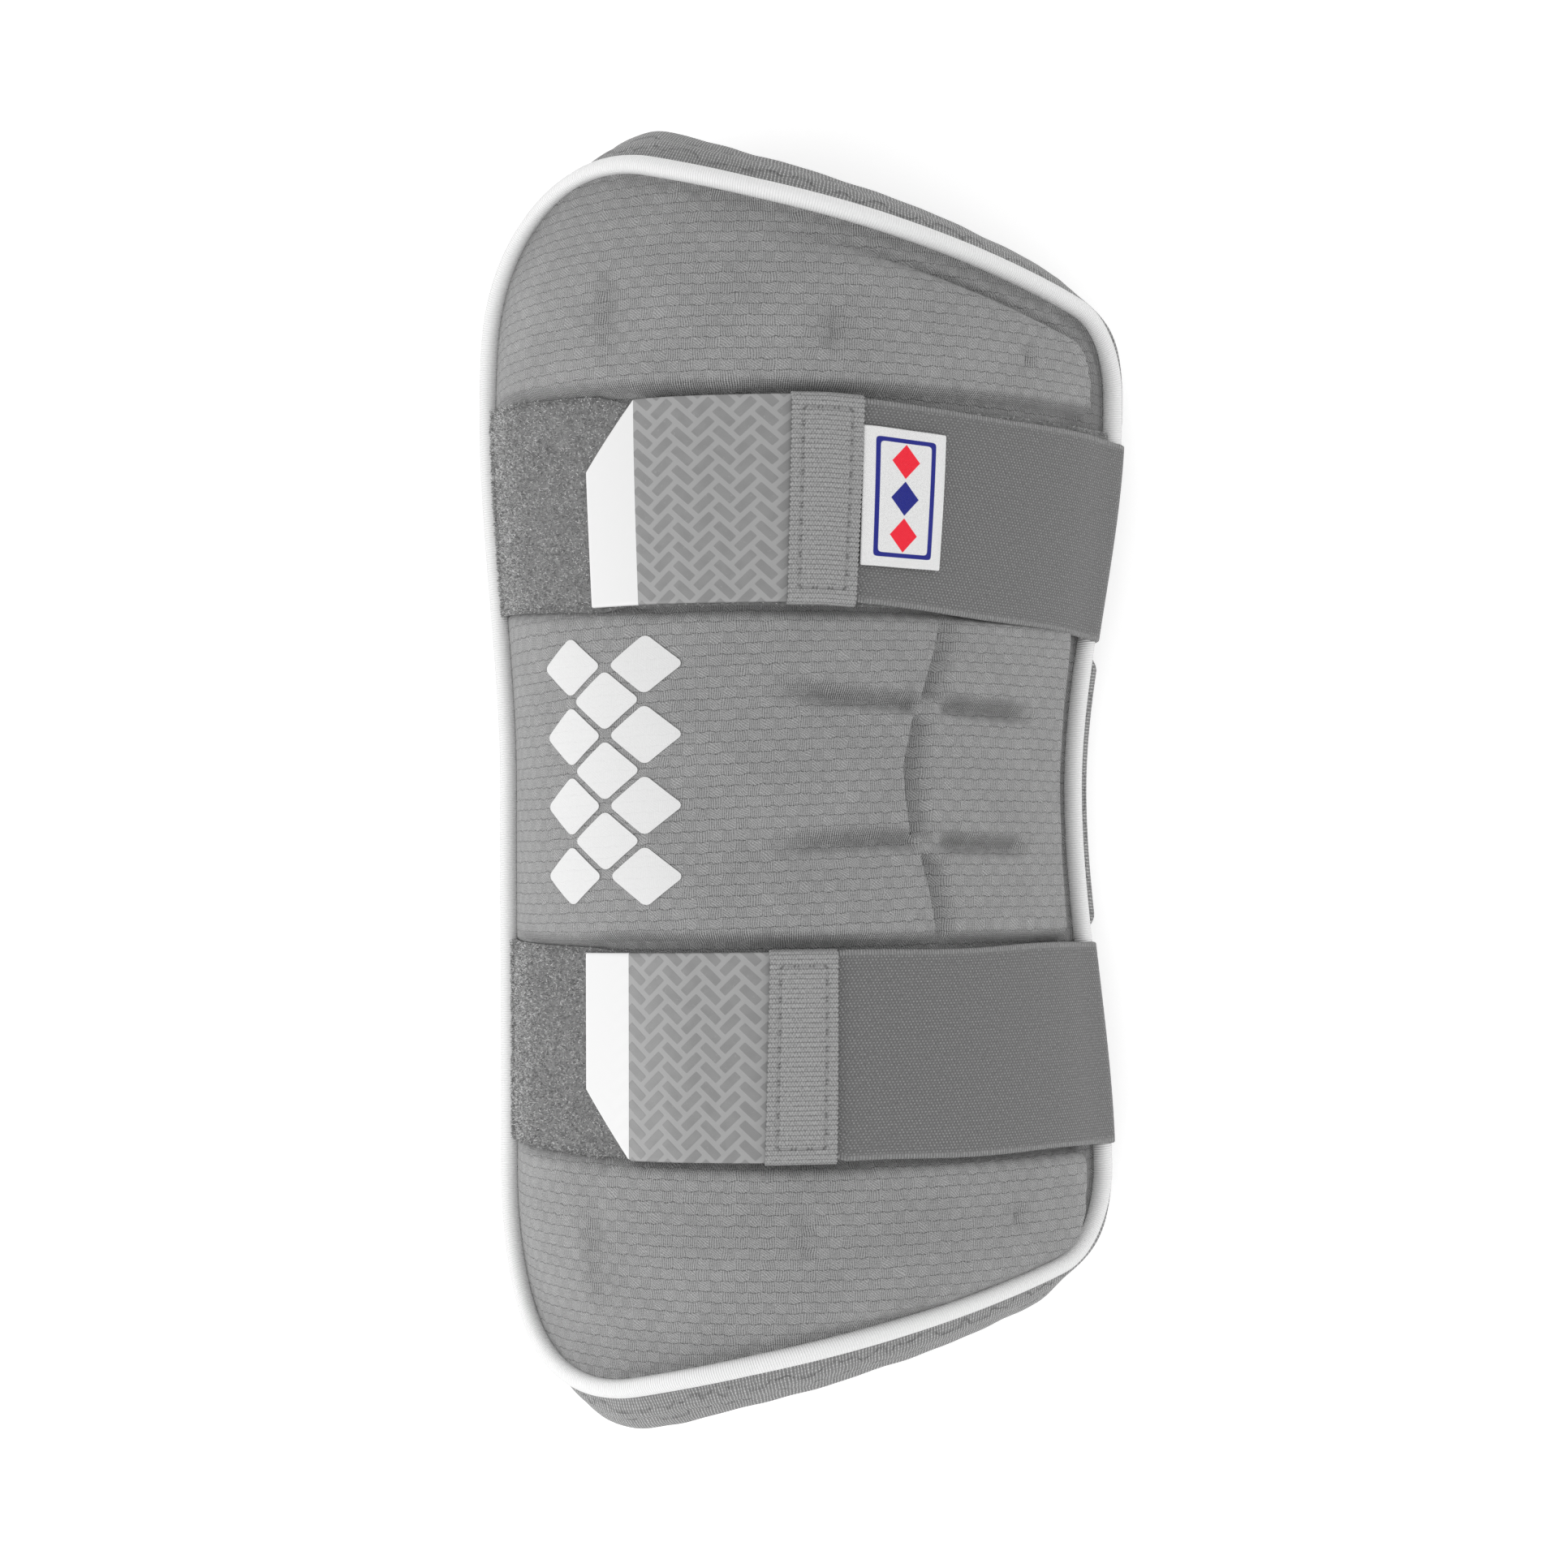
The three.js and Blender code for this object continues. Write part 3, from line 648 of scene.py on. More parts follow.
# How far the cover is stretched over a rolled edge, where its upright ribs open
def padRibbing(arc, y):
    foam = foamShare(arc, y)
    ribs = np.zeros_like(arc)
    for strap in straps.values():
        away, above = channelAway(strap, arc, y)
        rolled = smoothRamp(away, 0.2, 1.2) * (1 - smoothRamp(away, 2.8, 4.8))
        ribs = np.maximum(ribs, np.choose(above, (0.3, 1)) * rolled * smoothRamp(foam, 0.02, 0.4))
    for groove in pad["crossGrooves"]:
        wall, off, along = crossGroove(arc, y, groove)
        ribs = np.maximum(ribs, along * smoothRamp(off, -0.4, 0.6) * (1 - smoothRamp(off, 3.2, 5)))
    nearEnds = (1 - smoothRamp(insetFromRim(arc, y), 3.5, 6.5)) * smoothRamp(np.abs(y), 90, 115)
    ribs = np.maximum(ribs, 0.6 * nearEnds * smoothRamp(arc, -60, -30))
    for dentArc, dentY, halfLength, halfWidth, depth in pad["dents"]:
        spread = ((arc - dentArc) / (2 * halfWidth)) ** 2 + ((y - dentY) / halfLength) ** 4
        ribs = np.maximum(ribs, 0.45 * np.exp(-spread))
    return ribs


# The cover is blown up a little over the foam, held down at its rim, channels and grooves
def simulateSwell():
    columns, rows = pad["swellGrid"]
    piece, s, t = newGrid("swell", columns, rows)
    arc, y = padSpots(s, t, frontEdge)
    lift = padLift(arc, y, 0)
    writePoints(piece, np.column_stack([arc, y, lift]) * mm)
    held = np.maximum(1 - smoothRamp(foamShare(arc, y), 0.3, 0.75), 1.6 * longGroove(arc, y))
    for groove in pad["crossGrooves"]:
        held = np.maximum(held, 1.6 * crossGroove(arc, y, groove)[0])
    pins = piece.vertex_groups.new(name="held")
    for index, weight in enumerate(np.clip(held, 0, 1)):
        pins.add([index], float(weight), "REPLACE")
    soloSelect(piece)
    cloth = piece.modifiers.new("Cloth", "CLOTH")
    cloth.settings.vertex_group_mass = "held"
    cloth.settings.quality = 4
    cloth.settings.mass = 0.1
    cloth.settings.use_pressure = True
    cloth.settings.uniform_pressure_force = pad["swellPressure"]
    cloth.settings.effector_weights.gravity = 0
    for number in range(1, pad["swellFrames"] + 1):
        bpy.context.scene.frame_set(number)
    bpy.ops.object.modifier_apply(modifier="Cloth")
    raised = np.clip(readPoints(piece)[:, 2] / mm - lift, -0.2, pad["swellMost"])
    bpy.context.scene.frame_set(1)
    print("swell", round(float(raised.min()), 2), "to", round(float(raised.max()), 2), "mm")
    table = np.zeros((rows + 1, columns + 1))
    table[np.rint(t * rows).astype(int), np.rint(s * columns).astype(int)] = raised
    bpy.data.objects.remove(piece)
    return table


def swellAt(table, s, t):
    rows, columns = table.shape[0] - 1, table.shape[1] - 1
    i = np.clip((s * columns).astype(int), 0, columns - 1)
    j = np.clip((t * rows).astype(int), 0, rows - 1)
    low = mix(table[j, i], table[j, i + 1], s * columns - i)
    high = mix(table[j + 1, i], table[j + 1, i + 1], s * columns - i)
    return mix(low, high, t * rows - j)


def padEdgeRuns():
    bottomLeft, bottomRight, topRight, topLeft = rimMarks
    columns, rows = pad["columns"], pad["rows"]
    return np.concatenate([
        mix(bottomLeft, bottomRight, columnShare(np.linspace(0, 1, columns + 1)))[:-1],
        np.linspace(bottomRight, topRight, rows + 1)[:-1],
        mix(topLeft, topRight, columnShare(np.linspace(1, 0, columns + 1)))[:-1],
        np.linspace(topLeft, bottomLeft + rimLength, rows + 1),
    ])


def makePad(coverCloth, liningCloth):
    swell = simulateSwell()
    front, s, t = newGrid("guard_pad", pad["columns"], pad["rows"])
    s = columnShare(s)
    arc, y = padSpots(s, t, frontEdge)
    writePoints(front, np.column_stack([arc, y, padLift(arc, y, swellAt(swell, s, t))]) * mm)
    paintUv(front, arc, y)
    paintValue(front, "ribbing", padRibbing(arc, y))
    # painted shade: the cover is darkened where the foam is low, at the rims and in the channels, most near
    # the right edge
    beside = 1 - smoothRamp(rim["right"] - arc, *pad["paintedShadeReach"])
    paintValue(front, "paintedShade", (1 - smoothRamp(foamShare(arc, y), 0.05, 0.5)) * mix(0.25, 1, beside))
    makeEmblem(front)

    # the back follows the wider lower edge
    back, s, t = newGrid("pad_back", pad["columns"], pad["rows"])
    arc, y = padSpots(columnShare(s), t, backEdge)
    writePoints(back, np.column_stack([arc, y, 0 * arc + pad["backRow"][2]]) * mm)
    paintUv(back, arc, y)
    back.data.polygons.foreach_set("material_index", np.ones(len(back.data.polygons), np.int32))

    # the wall between them, hidden by the binding
    runs = padEdgeRuns()
    levels = [(0, -pad["inset"], 0), *pad["wall"], pad["backRow"]]
    wall, s, t = newGrid("pad_wall", len(runs) - 1, len(levels) - 1)
    run = runs[np.rint(s * (len(runs) - 1)).astype(int)]
    level = np.rint(t * (len(levels) - 1)).astype(int)
    share, out, lift = np.array(levels)[level].T
    arc, y = np.where(level == 0, frontEdge(run), rimOut(run, out + share * flareAt(rimAt(run)[3])))
    lift = np.where(level == 0, padLift(arc, y, 0), lift)
    writePoints(wall, np.column_stack([arc, y, lift]) * mm)
    paintUv(wall, arc, y)
    for part in (front, back, wall):
        part.data.materials.append(coverCloth)
        part.data.materials.append(liningCloth)
    joinPieces(front, back, wall)
    closeSeams(front)
    bendPiece(front)
    finishPiece(front, "cover", ["pad_shell"])


# The cover: broken dark lines across, and between them blocks of upright ribs and of slanted twill
cover = {"lines": 2.65, "blocks": 5.9, "ribs": 0.5, "dots": 0.42, "twill": 0.5, "step": 0.25, "skew": 0.045,
         "dark": 92, "plain": 148, "light": 192}


def makeCoverWeave():
    tree, given, result = newGroup(
        "coverWeave", [("Spot", "Vector"), ("Ribbing", "Float")], ["Lightness", "Height"])
    parts = addNode(tree, "SeparateXYZ", {0: given["Spot"]}).outputs
    drift = calc(tree, "SUBTRACT", noise(tree, given["Spot"], 0.2, 1.0), 0.5)
    wobble = calc(tree, "SUBTRACT", noise(tree, given["Spot"], 1.1, 1.0), 0.5)
    arc = calc(tree, "MULTIPLY_ADD", drift, 1.6, parts[0])
    y = calc(tree, "MULTIPLY_ADD", drift, 0.9, calc(tree, "MULTIPLY_ADD", wobble, 0.25, parts[1]))
    inMiddle = ramp(tree, calc(tree, "ABSOLUTE", parts[1]), 30.0, 46.0, cover["skew"], 0.0)
    clipped = calc(tree, "MINIMUM", calc(tree, "MAXIMUM", parts[0], -60.0), 45.0)
    y = calc(tree, "SUBTRACT", y, calc(tree, "MULTIPLY", clipped, inMiddle))
    stepped = calc(tree, "MULTIPLY", wave(tree, arc, cover["blocks"] / 2), cover["step"])
    rows = calc(tree, "DIVIDE", calc(tree, "ADD", y, stepped), cover["lines"])
    row = calc(tree, "FLOOR", rows)
    blocks = calc(tree, "DIVIDE", arc, cover["blocks"])
    turn = calc(tree, "FRACT", calc(tree, "MULTIPLY_ADD", row, 0.5, blocks))
    inTwill = ramp(tree, calc(tree, "ABSOLUTE", calc(tree, "SUBTRACT", turn, 0.5)), 0.24, 0.3)
    offLine = calc(tree, "ABSOLUTE", calc(tree, "SUBTRACT", calc(tree, "FRACT", rows), 0.5))
    broken = ramp(tree, noise(tree, given["Spot"], 2.4, 2.0), 0.36, 0.62, 0.15, 1.0)
    line = calc(tree, "MULTIPLY", ramp(tree, offLine, 0.43, 0.49), broken)
    line = calc(tree, "MULTIPLY", line, calc(tree, "MULTIPLY_ADD", inTwill, -0.3, 1.1))

    ribs = wave(tree, arc, cover["ribs"])
    dots = wave(tree, y, cover["dots"])
    between = calc(tree, "MULTIPLY", calc(tree, "SUBTRACT", 1.0, ribs), dots)
    dotted = calc(tree, "MULTIPLY_ADD", between, -0.6, ribs)
    slanted = calc(tree, "MULTIPLY_ADD", y, 0.79, calc(tree, "MULTIPLY", arc, 0.62))
    twill = ramp(tree, wave(tree, slanted, cover["twill"]), 0.3, 0.95)
    crossing = calc(tree, "MULTIPLY_ADD", y, 0.62, calc(tree, "MULTIPLY", arc, -0.79))
    twill = calc(tree, "MULTIPLY", twill, calc(tree, "MULTIPLY_ADD", wave(tree, crossing, 0.7), 0.5, 0.6))
    threads = calc(tree, "MULTIPLY_ADD", calc(tree, "SUBTRACT", twill, dotted), inTwill, dotted)
    fibres = useGroup(tree, fibreMottle, {"Spot": given["Spot"], "Fineness": 4.2})
    flecks = calc(tree, "SUBTRACT", fibres["Fibres"], 0.5)

    inRibs = calc(tree, "MULTIPLY_ADD", dotted, 0.32, 0.33)
    inSlants = calc(tree, "MULTIPLY_ADD", twill, 0.42, 0.325)
    flat = calc(tree, "MULTIPLY_ADD", calc(tree, "SUBTRACT", inSlants, inRibs), inTwill, inRibs)
    flat = calc(tree, "SUBTRACT", flat, calc(tree, "MULTIPLY", line, 0.36))
    opened = calc(tree, "MULTIPLY_ADD", dotted, 0.56, 0.2)
    opened = calc(tree, "SUBTRACT", opened, calc(tree, "MULTIPLY", line, 0.2))
    woven = calc(tree, "MULTIPLY_ADD", calc(tree, "SUBTRACT", opened, flat), given["Ribbing"], flat)
    cloudy = calc(tree, "MULTIPLY_ADD", calc(tree, "SUBTRACT", fibres["Cloud"], 0.5), 0.2, woven)
    tree.links.new(calc(tree, "MULTIPLY_ADD", flecks, 1.1, cloudy), result["Lightness"])

    low = calc(tree, "MULTIPLY_ADD", threads, 0.45, calc(tree, "MULTIPLY", line, -0.6))
    high = calc(tree, "MULTIPLY_ADD", dotted, 1.0, -0.2)
    relief = calc(tree, "MULTIPLY_ADD", calc(tree, "SUBTRACT", high, low), given["Ribbing"], low)
    tree.links.new(calc(tree, "MULTIPLY_ADD", flecks, 0.3, relief), result["Height"])
    return tree


def threeTones(tree, share, dark, plain, light):
    below = blendTones(tree, ramp(tree, share, 0.0, 0.5), tone(dark), tone(plain))
    return blendTones(tree, ramp(tree, share, 0.5, 1.0), below, tone(light))


def makeCover():
    material, tree = newMaterial("wovenCover")
    spot = clothSpot(tree)[0]
    weave = useGroup(tree, makeCoverWeave(), {"Spot": spot, "Ribbing": attribute(tree, "ribbing")})
    # painted shade on the low strips of the cover
    lightness = calc(tree, "MULTIPLY_ADD", attribute(tree, "paintedShade"), -0.24, weave["Lightness"])
    colour = threeTones(tree, lightness, cover["dark"], cover["plain"], cover["light"])
    setSurface(tree, colour, weave["Height"], 0.22, 0.82, sheen=0.08)
    return material


# The lining on the back: a plain soft knit
lining = {"stitch": 1.5, "wale": 1.1, "dark": 84, "light": 128}


def makeLining():
    material, tree = newMaterial("knitLining")
    spot, arc, y = clothSpot(tree)
    knit = useGroup(tree, dashRows, {
        "Along": y, "Across": arc, "Pitch": lining["stitch"], "RowPitch": lining["wale"],
        "Share": 0.7, "RowShift": 0.5})
    fibres = useGroup(tree, fibreMottle, {"Spot": spot, "Fineness": 2.6})
    share = calc(tree, "MULTIPLY_ADD", knit["Dash"], 0.45, calc(tree, "MULTIPLY", fibres["Fibres"], 0.6))
    colour = blendTones(tree, share, tone(lining["dark"]), tone(lining["light"]))
    setSurface(tree, colour, knit["Dash"], 0.3, 0.9, sheen=0.15)
    return material


# White film lozenges pressed on the cover, in three columns that fit into each other
emblem = {"arc": -36, "y": 3.6, "half": (10.6, 8.6), "gap": 1.1, "round": 1.6, "thick": 0.22, "cut": 1.3,
          "above": 0.1, "dark": 208, "light": 220}


def makeFilm():
    material, tree = newMaterial("whiteFilm")
    spot = clothSpot(tree)[0]
    grain = noise(tree, spot, 1.6, 3.0, 0.6)
    weave = useGroup(tree, bpy.data.node_groups["coverWeave"], {"Spot": spot, "Ribbing": 0.0})
    colour = blendTones(tree, grain, tone(emblem["dark"]), tone(emblem["light"]))
    setSurface(tree, colour, weave["Height"], 0.05, ramp(tree, grain, 0.3, 0.7, 0.42, 0.55))
    return material


def makeEmblem(ground):
    halfArc, halfY = emblem["half"]
    spots = [(column * halfArc, halfY * row) for column, rows in
             [(-1, (-3, -1, 1, 3)), (0, (-2, 0, 2)), (1, (-3, -1, 1, 3))] for row in rows]
    lozenges = []
    for arc, y in spots:
        bpy.ops.object.select_all(action="DESELECT")
        bpy.ops.mesh.primitive_circle_add(vertices=4, radius=mm, fill_type="NGON", calc_uvs=False)
        piece = bpy.context.object
        points = readPoints(piece)
        points *= [halfArc - emblem["gap"], halfY - emblem["gap"], 0]
        writePoints(piece, points + np.array([emblem["arc"] + arc, emblem["y"] + y, 12]) * mm)
        soloSelect(piece)
        bpy.ops.object.mode_set(mode="EDIT")
        bpy.ops.mesh.select_all(action="SELECT")
        bpy.ops.mesh.bevel(offset=emblem["round"] * mm, segments=4, affect="VERTICES")
        bpy.ops.object.mode_set(mode="OBJECT")
        lozenges.append(piece)
    film = joinPieces(*lozenges)
    film.name = film.data.name = "film_lozenges"
    cutInStrips(film, emblem["cut"])
    flat = readPoints(film) / mm
    paintUv(film, flat[:, 0], flat[:, 1])
    applyModifier(film, "SHRINKWRAP", target=ground, wrap_method="PROJECT", use_project_z=True,
                  use_negative_direction=True, use_positive_direction=False)
    writePoints(film, readPoints(film) + [0, 0, emblem["above"] * mm])
    applyModifier(film, "SOLIDIFY", thickness=emblem["thick"] * mm, offset=1)
    bendPiece(film)
    finishPiece(film, "film", [], makeFilm())


# Cuts a flat piece into small fields, so that it can follow a curved face
def cutInStrips(piece, step):
    flat = readPoints(piece)
    low, high = flat.min(0), flat.max(0)
    soloSelect(piece)
    bpy.ops.object.mode_set(mode="EDIT")
    for axis, normal in ((0, (1, 0, 0)), (1, (0, 1, 0))):
        for spot in np.arange(low[axis], high[axis], step * mm)[1:]:
            bpy.ops.mesh.select_all(action="SELECT")
            centre = [spot if k == axis else 0 for k in range(3)]
            bpy.ops.mesh.bisect(plane_co=centre, plane_no=normal)
    bpy.ops.object.mode_set(mode="OBJECT")


makePad(makeCover(), makeLining())


# White piping: a cord in ribbed cloth
# below: the tone of the painted shade on the cord's downward-facing side
piping = {"radius": 2.35, "sideways": 0.12, "lift": 0.3, "around": 14, "along": 620,
          "ribs": 0.62, "slant": 0.1, "dark": 220, "light": 247, "below": 182}


def makePipingCloth():
    material, tree = newMaterial("ribbedPiping")
    spot, along, around = clothSpot(tree)
    ribs = wave(tree, calc(tree, "MULTIPLY_ADD", around, piping["slant"], along), piping["ribs"])
    fibres = useGroup(tree, fibreMottle, {"Spot": spot, "Fineness": 2.4})
    share = calc(tree, "MULTIPLY_ADD", ribs, 0.4, calc(tree, "MULTIPLY", fibres["Fibres"], 0.75))
    colour = blendTones(tree, share, tone(piping["dark"]), tone(piping["light"]))
    # painted shade on the cord's downward-facing side
    cordShadeShare = calc(tree, "MULTIPLY", attribute(tree, "under"), 0.55)
    colour = blendTones(tree, cordShadeShare, colour, tone(piping["below"]))
    setSurface(tree, colour, ribs, 0.16, 0.62, sheen=0.1)
    return material


def makePiping():
    ring, s, t = newGrid("piping_cord", piping["along"], piping["around"])
    run, turn = s * rimLength, t * 2 * math.pi
    radius = piping["radius"] * (1 + piping["sideways"] * rimAt(run)[2] ** 2)
    arc, y = rimOut(run, radius * np.cos(turn))
    lift = piping["lift"] + radius * np.sin(turn)
    writePoints(ring, np.column_stack([arc, y, lift]) * mm)
    paintUv(ring, run, turn * piping["radius"])
    # painted shade: the cord is darkened on the sides that face away from up
    tilt, normalArc = section(arc)[2], rimAt(run)[2]
    facingUp = np.sin(turn) * np.cos(tilt) - np.cos(turn) * normalArc * np.sin(tilt)
    paintValue(ring, "under", 1 - smoothRamp(facingUp, -0.1, 0.7))
    bendPiece(ring)
    closeSeams(ring)
    finishPiece(ring, "piping", ["piping"], makePipingCloth())


makePiping()


# The gusset band round the side wall
binding = {
    # share of flare, out, lift; the second rows hold between the straps on the right
    "rows": [(0, 0.8, -2.3), (0.55, 1.2, -5), (1, -0.2, -9.4), (1, 0, -12.6),
             (1, -1.6, -12.6), (1, -1.9, -9.8), (0.55, -0.7, -6.2), (0, -1.4, -2.5)],
    "rightRows": [(0, 0.8, -2.3), (0, 9.2, -1.4), (0, 10.4, -6), (0, 9.2, -12.2),
                  (1, -1.6, -12.6), (1, -1.9, -9.8), (0.55, -0.7, -6.2), (0, -1.4, -2.5)],
    "besideStrap": (24, 33), "cornerBulge": 0.7,
    "crease": (-7.4, 0.8, 0.7, 0.5),  # lift, swing, half width, depth
    "dark": 108, "light": 194, "pressed": 84,
    "along": 760, "around": 40,
    "wrinkles": [(41, 0.1, 0.4), (67, 0.08, 2.0), (23, 0.12, 1.1)],  # waves round the rim, out, phase
    "ribs": 0.88, "dots": 0.62, "quilting": (3.7, 7.4), "steps": 0.16,
}


def makeBindingCloth():
    material, tree = newMaterial("bindingTape")
    spot, along, across = clothSpot(tree)
    fibres = useGroup(tree, fibreMottle, {"Spot": spot, "Fineness": 2.8})
    drift = calc(tree, "SUBTRACT", noise(tree, spot, 0.35, 2.0), 0.5)
    ribs = ramp(tree, wave(tree, calc(tree, "MULTIPLY_ADD", drift, 1.1, along), binding["ribs"]), 0.4, 0.95)
    dots = calc(tree, "MULTIPLY_ADD", wave(tree, across, binding["dots"]), 0.7, 0.3)
    threads = calc(tree, "MULTIPLY", ribs, dots)
    worn = calc(tree, "MULTIPLY_ADD", fibres["Fibres"], 0.7, -0.22)
    share = calc(tree, "MULTIPLY_ADD", threads, 0.9, worn)
    stepped = ramp(tree, noise(tree, spot, binding["steps"], 1.0), 0.4, 0.6, -0.7, 0.7)
    pressed = 0.0
    for row in binding["quilting"]:
        offRow = calc(tree, "ABSOLUTE", calc(tree, "SUBTRACT", calc(tree, "ADD", across, stepped), row))
        pressed = calc(tree, "MAXIMUM", pressed, ramp(tree, offRow, 0.1, 0.4, 1.0, 0.0))
    broken = ramp(tree, noise(tree, spot, 0.5, 2.0), 0.4, 0.6, 0.25, 1.0)
    pressed = calc(tree, "MULTIPLY", pressed, broken)
    colour = blendTones(tree, share, tone(binding["dark"]), tone(binding["light"]))
    colour = blendTones(tree, calc(tree, "MULTIPLY", pressed, 0.5), colour, tone(binding["pressed"]))
    height = calc(tree, "MULTIPLY_ADD", pressed, -1.5, threads)
    setSurface(tree, colour, height, 0.2, 0.8, sheen=0.08)
    return material


def makeBinding():
    ring, s, t = newGrid("binding_band", binding["along"], binding["around"])
    profile = np.array([*binding["rows"], binding["rows"][0]], float)
    bulged = np.array([*binding["rightRows"], binding["rightRows"][0]], float)
    marks = np.append(0, np.cumsum(np.linalg.norm(np.diff(profile * [8, 1, 1], axis=0), axis=1)))
    at = t * marks[-1]
    run = s * rimLength
    rimSpotY, normalArc, normalY = rimAt(run)[1:]
    free = smoothRamp(normalArc, 0.35, 0.9)
    for strap in straps.values():
        away = np.abs(rimSpotY - strap["y"] - strapShift(strap, rim["right"]))
        free = free * smoothRamp(away, *binding["besideStrap"])
    free = free * mix(1, binding["cornerBulge"], smoothRamp(np.abs(rimSpotY), 60, 90))
    share, out, lift = (mix(np.interp(at, marks, profile[:, k]), np.interp(at, marks, bulged[:, k]), free)
                        for k in range(3))
    middle = np.sin(np.clip((-2.3 - lift) / 10.3, 0, 1) * math.pi)
    for waves, depth, phase in binding["wrinkles"]:
        swing = np.sin(waves * 2 * math.pi * s + phase + 0.3 * lift)
        out = out + depth * middle * swing * normalY ** 2
    spot, swing, half, depth = binding["crease"]
    crease = np.exp(-((lift - spot + swing * np.sin(14 * math.pi * s)) / half) ** 2)
    out = out - depth * crease * mix(0.4, 1, normalY ** 2)
    arc, y = rimOut(run, out + share * flareAt(normalY))
    writePoints(ring, np.column_stack([arc, y, lift]) * mm)
    paintUv(ring, run, at)
    bendPiece(ring)
    closeSeams(ring)
    finishPiece(ring, "binding", ["edge_binding"], makeBindingCloth())


makeBinding()
print("pad, piping and binding done")


# Loop bands that line the channels: a flat felted ground with short bent fibres
loopBand = {"halfUnderStrap": 24.9, "thick": 1.2, "fromPiping": 3.4, "columns": 110, "rows": 36,
            "open": 11400, "edge": 1700, "end": 900,  # fibres in the open, along the edges, at the left end
            "reach": (0.25, 0.85), "rise": (0.2, 0.65), "radius": (0.036, 0.063), "bright": 0.26,
            "paleFrom": (-66, -90), "dark": 100, "light": 184, "fibreDark": 106, "fibreLight": 255}


def makeLoopCloth():
    material, tree = newMaterial("loopGround")
    spot, arc = clothSpot(tree)[:2]
    fibres = useGroup(tree, fibreMottle, {"Spot": spot, "Fineness": 1.5})
    fine = noise(tree, spot, 4.5, 3.0, 0.7)
    share = calc(tree, "MULTIPLY_ADD", fibres["Fibres"], 0.9, calc(tree, "MULTIPLY_ADD", fine, 1.2, -0.55))
    share = calc(tree, "ADD", share, ramp(tree, arc, *loopBand["paleFrom"], 0.0, 0.65))
    colour = blendTones(tree, share, tone(loopBand["dark"]), tone(loopBand["light"]))
    setSurface(tree, colour, share, 0.6, 0.95, sheen=0.2)
    return material


def makeLoopFibre():
    material, tree = newMaterial("loopFibre")
    shade = attribute(tree, "shade")
    # pale fibres are painted glints; they also get a smoother surface
    colour = blendTones(tree, shade, tone(loopBand["fibreDark"]), tone(loopBand["fibreLight"]))
    surface = tree.nodes["Principled BSDF"]
    plug(tree, colour, surface.inputs["Base Color"])
    plug(tree, ramp(tree, shade, 0.0, 1.0, 0.8, 0.45), surface.inputs["Roughness"])
    return material


def bandHalf(strap, arc):
    tip = strap["tipArc"]
    return mix(strap["bandHalf"], loopBand["halfUnderStrap"], smoothRamp(arc, tip, tip + 12))


def bandTop(arc):
    return heights["patchTop"] - bandDrop(arc)


def bandSpots(strap, rng):
    low, high = rim["left"] + loopBand["fromPiping"], rim["right"] - loopBand["fromPiping"]
    openArc = rng.uniform(low, strap["tipArc"] + 14, loopBand["open"] * 2)
    openAcross = rng.uniform(-1, 1, loopBand["open"] * 2) * bandHalf(strap, openArc)
    onTab = tabCovers(strap, openArc, openAcross + bandShift(strap, openArc))
    openArc = openArc[~onTab][:loopBand["open"]]
    openAcross = openAcross[~onTab][:loopBand["open"]]
    edgeArc = rng.uniform(low, high, loopBand["edge"])
    edgeAcross = rng.choice([-1, 1], loopBand["edge"]) * rng.uniform(0.94, 1, loopBand["edge"])
    edgeAcross = edgeAcross * bandHalf(strap, edgeArc)
    endArc = low + rng.uniform(-0.6, 1.6, loopBand["end"])
    endAcross = rng.uniform(-1, 1, loopBand["end"]) * strap["bandHalf"]
    return np.concatenate([openArc, edgeArc, endArc]), np.concatenate([openAcross, edgeAcross, endAcross])


